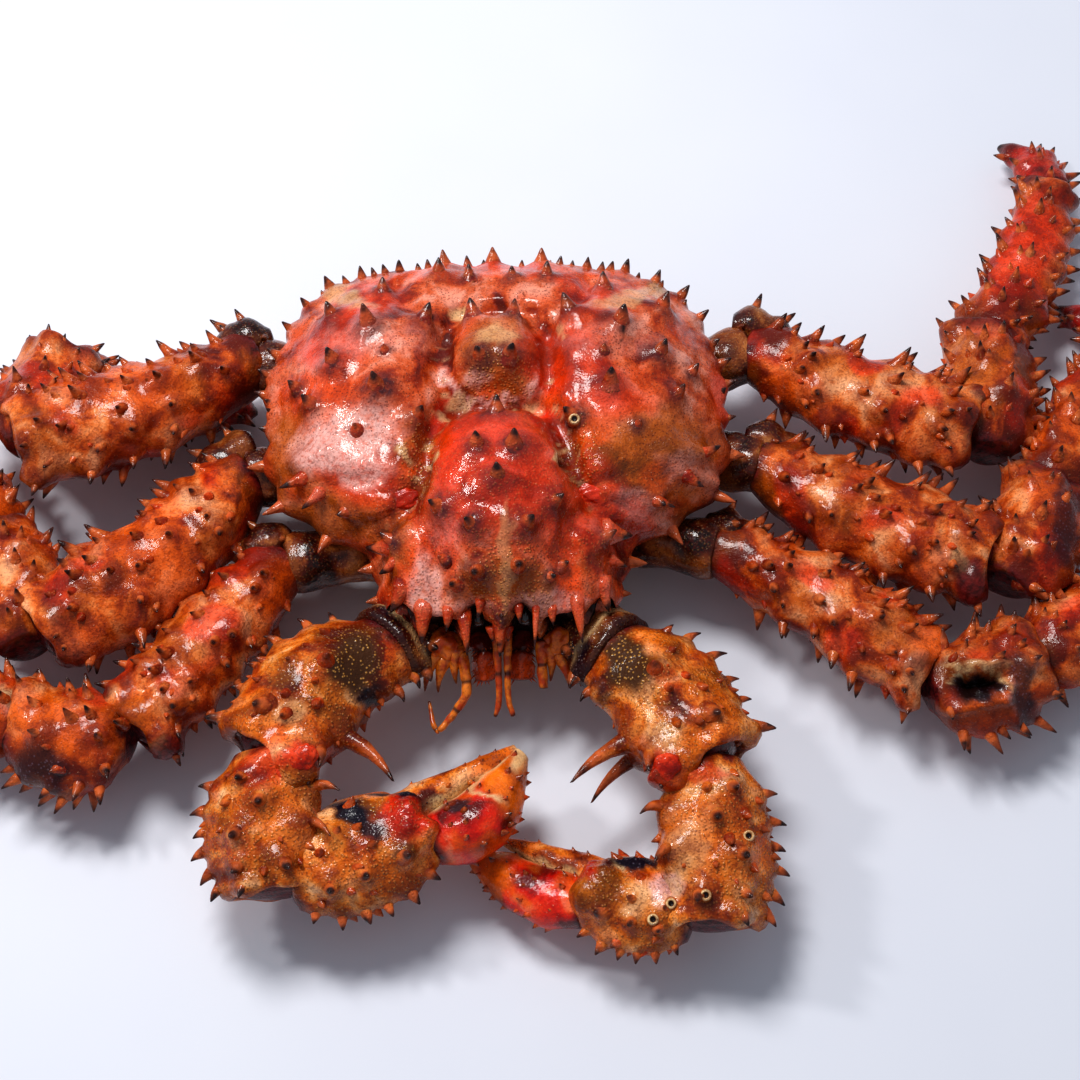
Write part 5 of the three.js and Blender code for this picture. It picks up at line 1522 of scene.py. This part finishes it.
# Colours on the screen, from 0 to 255: those of each shell, and after them those that all shells share.
SHELLS = {
    "carapace": dict(
        tones=[(96, 16, 0), (158, 46, 4), (200, 80, 28), (218, 106, 66), (238, 152, 126)],
        brown=(166, 82, 8), orange=(230, 72, 0), red=(200, 34, 2), halo=(74, 32, 36),
    ),
    "leg": dict(
        tones=[(92, 20, 2), (158, 56, 6), (212, 94, 22), (236, 132, 68), (248, 172, 120)],
        brown=(180, 90, 12), orange=(232, 88, 8), red=(220, 42, 8), halo=(120, 32, 16),
        pores=0.5, net=0.8, coat=0.4,
    ),
    "claw": dict(
        tones=[(78, 16, 0), (156, 60, 4), (216, 106, 18), (242, 148, 66), (255, 192, 136)],
        brown=(180, 96, 12), orange=(236, 106, 10), red=(206, 24, 4), halo=(104, 36, 16),
        pores=0.8, net=0.85, coat=0.46,
    ),
    "finger": dict(
        tones=[(100, 4, 2), (184, 14, 2), (222, 34, 6), (238, 60, 20), (244, 120, 84)],
        brown=(184, 70, 20), orange=(250, 112, 10), red=(200, 16, 4), halo=(90, 10, 8), spine=(84, 18, 12),
        pores=0.2, net=0.35, gloss=0.3,
    ),
    "toe": dict(
        tones=[(64, 14, 10), (134, 28, 14), (186, 46, 22), (210, 76, 42), (226, 124, 92)],
        brown=(156, 58, 32), orange=(220, 84, 34), red=(202, 26, 14), halo=(92, 22, 18), net=0.7,
    ),
    "hip": dict(
        tones=[(26, 6, 3), (60, 17, 6), (98, 40, 14), (140, 72, 28), (184, 116, 60)],
        brown=(70, 28, 12), orange=(146, 80, 30), red=(114, 22, 12), halo=(44, 12, 8), spine=(156, 82, 40),
        joint=(40, 6, 7), net=0.7, gloss=0.3,
    ),
    "underside": dict(
        tones=[(176, 104, 60), (206, 146, 92), (224, 174, 122), (232, 190, 142), (242, 212, 172)],
        brown=(206, 150, 96), orange=(222, 138, 84), red=(204, 92, 56), pores=0.2, net=0.25, gloss=0.42,
    ),
    # The mouthparts' orange is brightened, as painted light against the shade of the carapace over them.
    "mouth": dict(
        tones=[(94, 18, 5), (160, 38, 8), (210, 66, 14), (230, 100, 38), (240, 148, 90)],
        brown=(154, 56, 20), orange=(255, 92, 12), red=(230, 30, 6),
    ),
}
PALE_AND_SHEEN, CREAM = ((222, 138, 120), (242, 196, 188)), ((214, 156, 92), (246, 222, 172))
NET, PORE, FLECK, BEAD_TOP, DARK_AND_SHADE = (96, 18, 4), (78, 14, 2), (252, 200, 160), (232, 160, 84), (26, 8, 6)
OLIVE, BLUE = ((190, 138, 68), (70, 38, 12)), ((84, 76, 92), (18, 12, 26))
SPINE_LIGHT, JOINT_DARK, TIP = (212, 104, 50), (46, 8, 12), ((34, 18, 18), (74, 36, 30))
FEELER, FEELER_DARK_TONE = ((222, 122, 34), (178, 62, 14)), (112, 36, 8)
FEELER_MARKS = {"red": (214, 84, 30), "dark": (44, 16, 10), "tip": (34, 20, 18)}
EYE_TONES, FACET = ((14, 10, 10), (58, 32, 24)), (4, 3, 3)
FLOOR = ((212, 215, 226), (224, 226, 234))


def linear(colour):
    """A colour of the screen, as the shader wants it."""
    return tuple(
        ((value / 255 + 0.055) / 1.055) ** 2.4 if value > 10 else value / 255 / 12.92 for value in colour
    ) + (1.0,)


class Paint:
    """Wires the nodes of one material."""

    def __init__(self, name, **shader):
        self.material = bpy.data.materials.new(name)
        self.material.use_nodes = True
        self.tree = self.material.node_tree
        self.shader = self.tree.nodes["Principled BSDF"]
        for socket, value in shader.items():
            self.shader.inputs[socket.replace("_", " ")].default_value = value
        self.place = self.node("ShaderNodeTexCoord").outputs["Object"]

    def node(self, kind, inputs=None, **settings):
        made = self.tree.nodes.new(kind)
        for key, value in settings.items():
            setattr(made, key, value)
        for socket, value in (inputs or {}).items():
            self.feed(made.inputs[socket], value)
        return made

    def feed(self, socket, value):
        if isinstance(value, bpy.types.NodeSocket):
            self.tree.links.new(value, socket)
        else:
            socket.default_value = value

    def noise(self, size, detail=3.0, roughness=0.55, distortion=0.0):
        """Noise with features `size` millimetres across."""
        inputs = {"Vector": self.place, "Scale": 1000 / size, "Detail": detail, "Roughness": roughness,
                  "Distortion": distortion}
        return self.node("ShaderNodeTexNoise", inputs).outputs["Fac"]

    def cells(self, size):
        """Distance from the nearest of scattered points, about `size` millimetres apart."""
        inputs = {"Vector": self.place, "Scale": 1000 / size, "Randomness": 1.0}
        return self.node("ShaderNodeTexVoronoi", inputs, feature="F1").outputs["Distance"]

    def range(self, value, low, high, start=0.0, end=1.0):
        inputs = {0: value, 1: low, 2: high, 3: start, 4: end}
        return self.node("ShaderNodeMapRange", inputs, interpolation_type="SMOOTHSTEP").outputs[0]

    def math(self, operation, first, second):
        return self.node("ShaderNodeMath", {0: first, 1: second}, operation=operation).outputs[0]

    def plus(self, first, second):
        return self.math("ADD", first, second)

    def times(self, first, second):
        return self.math("MULTIPLY", first, second)

    def mix(self, factor, first, second):
        """From one colour to another, each of them a socket or a colour of the screen."""
        first, second = (linear(tone) if isinstance(tone, tuple) else tone for tone in (first, second))
        inputs = {0: factor, 6: first, 7: second}
        return self.node("ShaderNodeMix", inputs, data_type="RGBA").outputs[2]

    def ramp(self, value, tones):
        """A colour ramp whose tones are evenly spaced, from dark to light."""
        ramp = self.node("ShaderNodeValToRGB", {"Fac": value})
        stops = ramp.color_ramp.elements
        for index, tone in enumerate(tones):
            place = index / (len(tones) - 1)
            stop = stops[index] if index < 2 else stops.new(place)
            stop.position, stop.color = place, linear(tone)
        return ramp.outputs["Color"]

    def marks(self):
        """The painted marks, by name."""
        found = {}
        for index in range(0, len(MARKS), 4):
            attribute = self.node("ShaderNodeAttribute", attribute_name=f"marks_{index}")
            split = self.node("ShaderNodeSeparateColor", {"Color": attribute.outputs["Color"]})
            found.update(zip(MARKS[index:], [*split.outputs[:3], attribute.outputs["Alpha"]]))
        return found

    def finish(self, colour, roughness, height, strength, **distances):
        """Feeds the shader, with a bump of so many metres for each of its normals that is named."""
        self.feed(self.shader.inputs["Base Color"], colour)
        self.feed(self.shader.inputs["Roughness"], roughness)
        for socket, distance in distances.items():
            inputs = {"Strength": strength, "Distance": distance, "Height": height}
            bump = self.node("ShaderNodeBump", inputs).outputs["Normal"]
            self.feed(self.shader.inputs[socket.replace("_", " ")], bump)
        return self.material


def shell_material(
    name, tones, brown, orange, red, halo=(96, 50, 54), spine=(172, 80, 36), joint=(96, 22, 24), pores=0.9,
    net=0.6, gloss=0.36, coat=0.62,
):
    """Wet cooked shell: mottled from dark to light `tones`, with dark pores or a dark net, and fine beads."""
    paint = Paint(name, Coat_Weight=coat, Coat_Roughness=0.09, IOR=1.45, Specular_IOR_Level=0.15)
    mark = paint.marks()
    medium, fine, grain, beads = paint.noise(7, 4), paint.noise(2.2, 4), paint.noise(0.8, 2), paint.cells(1.5)
    value = paint.range(paint.noise(15, 4, 0.55, 0.5), 0.28, 0.68)
    # The tone is lowered where darker brown or painted shade is marked, and raised where light undersides or
    # painted sheen are marked.
    value = paint.math("SUBTRACT", value, paint.times(mark["deep"], 0.6))
    value = paint.plus(value, paint.times(mark["pale"], 0.35))
    colour = paint.ramp(value, tones)

    def varied(tone):
        """A tone that is darker or lighter where the shell is."""
        dark, light = (tuple(min(255, share * part) for part in tone) for share in (0.76, 1.15))
        return paint.mix(value, dark, light)

    # The patches of colour come first, then the pattern of the shell, and the painted marks over both.
    for key, tone in (("brown", brown), ("orange", orange), ("red", red)):
        colour = paint.mix(paint.times(mark[key], 0.88), colour, varied(tone))
    # Light pink over the undersides, and as painted sheen and highlights where the tables put it.
    pale = paint.times(mark["pale"], paint.range(fine, 0.3, 0.55, 0.5, 1))
    colour = paint.mix(pale, colour, paint.mix(fine, *PALE_AND_SHEEN))
    colour = paint.mix(mark["cream"], colour, paint.mix(medium, *CREAM))
    colour = paint.mix(paint.times(mark["halo"], paint.range(fine, 0.25, 0.6, 0.55, 1)), colour, halo)
    netting = paint.range(paint.noise(1.7, 2, 0.5, 1.2), 0.48, 0.62, 0, net)
    colour = paint.mix(netting, colour, paint.mix(0.5, colour, NET))
    pore = paint.range(paint.cells(1.15), 0.42, 0.16)
    pore = paint.times(pore, paint.range(medium, 0.35, 0.6, 0.2 * pores, pores))
    pore = paint.times(pore, paint.range(mark["red"], 0, 1, 1, 0.35))
    colour = paint.mix(pore, colour, paint.mix(0.76, colour, PORE))
    colour = paint.mix(paint.range(grain, 0.64, 0.78, 0, 0.35), colour, FLECK)
    bead_tops = paint.times(mark["beads"], paint.range(beads, 0.42, 0.1))
    colour = paint.mix(paint.times(bead_tops, 0.45), colour, BEAD_TOP)
    colour = paint.mix(mark["olive"], colour, paint.mix(paint.range(beads, 0.12, 0.42), *OLIVE))
    colour = paint.mix(mark["blue"], colour, paint.mix(paint.range(beads, 0.06, 0.36), *BLUE))
    # Black seams, and painted shade in the orbits, under the brow, in dents and in holes.
    colour = paint.mix(mark["dark"], colour, DARK_AND_SHADE)
    mottle = paint.range(fine, 0.4, 0.65)
    colour = paint.mix(mark["spine"], colour, paint.mix(paint.range(medium, 0.35, 0.65), spine, SPINE_LIGHT))
    colour = paint.mix(mark["joint"], colour, paint.mix(mottle, joint, JOINT_DARK))
    colour = paint.mix(mark["tip"], colour, paint.mix(mottle, *TIP))
    rough = paint.range(medium, 0.3, 0.7, gloss - 0.1, gloss + 0.2)
    height = paint.times(paint.range(beads, 0.5, 0.0), paint.range(mark["beads"], 0, 1, 0.3, 1.5))
    height = paint.plus(paint.plus(height, paint.times(fine, 1.1)), paint.times(grain, 0.6))
    return paint.finish(colour, rough, height, 0.8, Normal=0.00045, Coat_Normal=0.00015)


def feeler_material():
    """Orange brown, cloudy, with dark joints."""
    paint = Paint("feeler_shell", Coat_Weight=0.55, Coat_Roughness=0.12, Specular_IOR_Level=0.2)
    mark, fine = paint.marks(), paint.noise(1.6)
    colour = paint.mix(paint.range(paint.noise(5), 0.4, 0.6), *FEELER)
    # Darker clouds at random, a tone of the shell.
    colour = paint.mix(paint.range(fine, 0.45, 0.7, 0, 0.6), colour, FEELER_DARK_TONE)
    for key, tone in FEELER_MARKS.items():
        colour = paint.mix(mark[key], colour, tone)
    return paint.finish(colour, paint.range(fine, 0.3, 0.7, 0.25, 0.5), fine, 0.5, Normal=0.0003)


def eye_material():
    """Nearly black, with small facets."""
    paint = Paint("eye_facets", Coat_Weight=0.9, Coat_Roughness=0.05)
    facets, cloud = paint.cells(0.35), paint.noise(2.0, 2)
    colour = paint.mix(paint.range(cloud, 0.4, 0.7), *EYE_TONES)
    colour = paint.mix(paint.range(facets, 0.3, 0.6, 0, 0.5), colour, FACET)
    return paint.finish(colour, paint.range(cloud, 0.3, 0.7, 0.12, 0.3), facets, 0.3, Normal=0.0001)


def floor_material():
    paint = Paint("pale_floor", Roughness=0.6)
    paint.feed(paint.shader.inputs["Base Color"], paint.mix(paint.noise(180), *FLOOR))
    return paint.material


# ---------------------------------------------------------------- crab


def build_crab():
    materials = {kind: shell_material(kind + "_shell", **look) for kind, look in SHELLS.items()}
    feeler_look, eye_look = feeler_material(), eye_material()
    for node in BROKEN:
        crumble(node)
    carapace().build("carapace", materials["carapace"], "carapace_shell", body=True)
    thorax().build("thorax", materials["underside"], "underside", body=True)
    tail_flap().build("tail_flap", materials["underside"], "underside", body=True, floor=0.0)
    tail_base().build("tail_base", materials["leg"], "leg_shell", body=True)
    for name, side in (("left", 1), ("right", -1)):
        eye(side).build("eye_" + name, eye_look, "eye", body=True)
        mouthpart(side).build("mouthpart_" + name, materials["mouth"], "mouth_shell", body=True)
        antennule(side).build("antennule_" + name, feeler_look, "feeler", body=True)
        antenna(name, side).build("antenna_" + name, feeler_look, "feeler", body=True)
    build_legs(materials)
    build_claws(materials)


# ---------------------------------------------------------------- stage, light and camera

# Everything from here on is in the frame's metres.
FLOOR_HALF = 3.0
FLOOR_SQUARES = 12
LIGHT_TARGET = (0.0, 0.0, 0.03)
LIGHTS = {  # place, size across, watts and colour of each round panel
    "back_panel": ((-0.3, 0.42, 1.3), 0.46, 12.8, (1.0, 0.99, 0.98)),
    "left_panel": ((-0.8, 0.2, 0.9), 0.14, 3.4, (1.0, 0.98, 0.96)),
}
SKY, SKY_STRENGTH = (0.84, 0.9, 1.0, 1.0), 0.34


def build_floor():
    line = np.linspace(-FLOOR_HALF, FLOOR_HALF, FLOOR_SQUARES + 1)
    row = len(line)
    corners = [low * row + left for low in range(FLOOR_SQUARES) for left in range(FLOOR_SQUARES)]
    faces = [(corner, corner + 1, corner + row + 1, corner + row) for corner in corners]
    mesh = bpy.data.meshes.new("floor")
    mesh.from_pydata([(x, y, 0.0) for y in line for x in line], [], faces)
    mesh.materials.append(floor_material())
    floor = bpy.data.objects.new("floor", mesh)
    bpy.context.scene.collection.objects.link(floor)


def aim(thing, place, target):
    """Puts a light or camera at a place and points it at a target."""
    direction = Vector(target) - Vector(place)
    thing.location = place
    thing.rotation_euler = direction.to_track_quat("-Z", "Y").to_euler()
    bpy.context.scene.collection.objects.link(thing)


def build_camera():
    target, place = (CAMERA_TARGET + SHIFT) / 1000, (CAMERA_PLACE + SHIFT) / 1000
    data = bpy.data.cameras.new("camera")
    data.sensor_fit = "HORIZONTAL"
    data.angle = CAMERA_FIELD
    data.clip_start = 0.01
    camera = bpy.data.objects.new("camera", data)
    aim(camera, tuple(place), tuple(target))
    bpy.context.scene.camera = camera


def build_light():
    world = bpy.data.worlds.new("sky")
    world.use_nodes = True
    background = world.node_tree.nodes["Background"]
    background.inputs["Color"].default_value = SKY
    background.inputs["Strength"].default_value = SKY_STRENGTH
    bpy.context.scene.world = world
    bpy.context.scene.view_settings.view_transform = "Standard"
    bpy.context.scene.view_settings.look = "Medium High Contrast"
    for name, (place, size, watts, colour) in LIGHTS.items():
        data = bpy.data.lights.new(name, "AREA")
        data.shape, data.size = "DISK", size
        data.energy, data.color = watts, colour
        aim(bpy.data.objects.new(name, data), place, LIGHT_TARGET)


build_crab()
build_floor()
build_light()
build_camera()
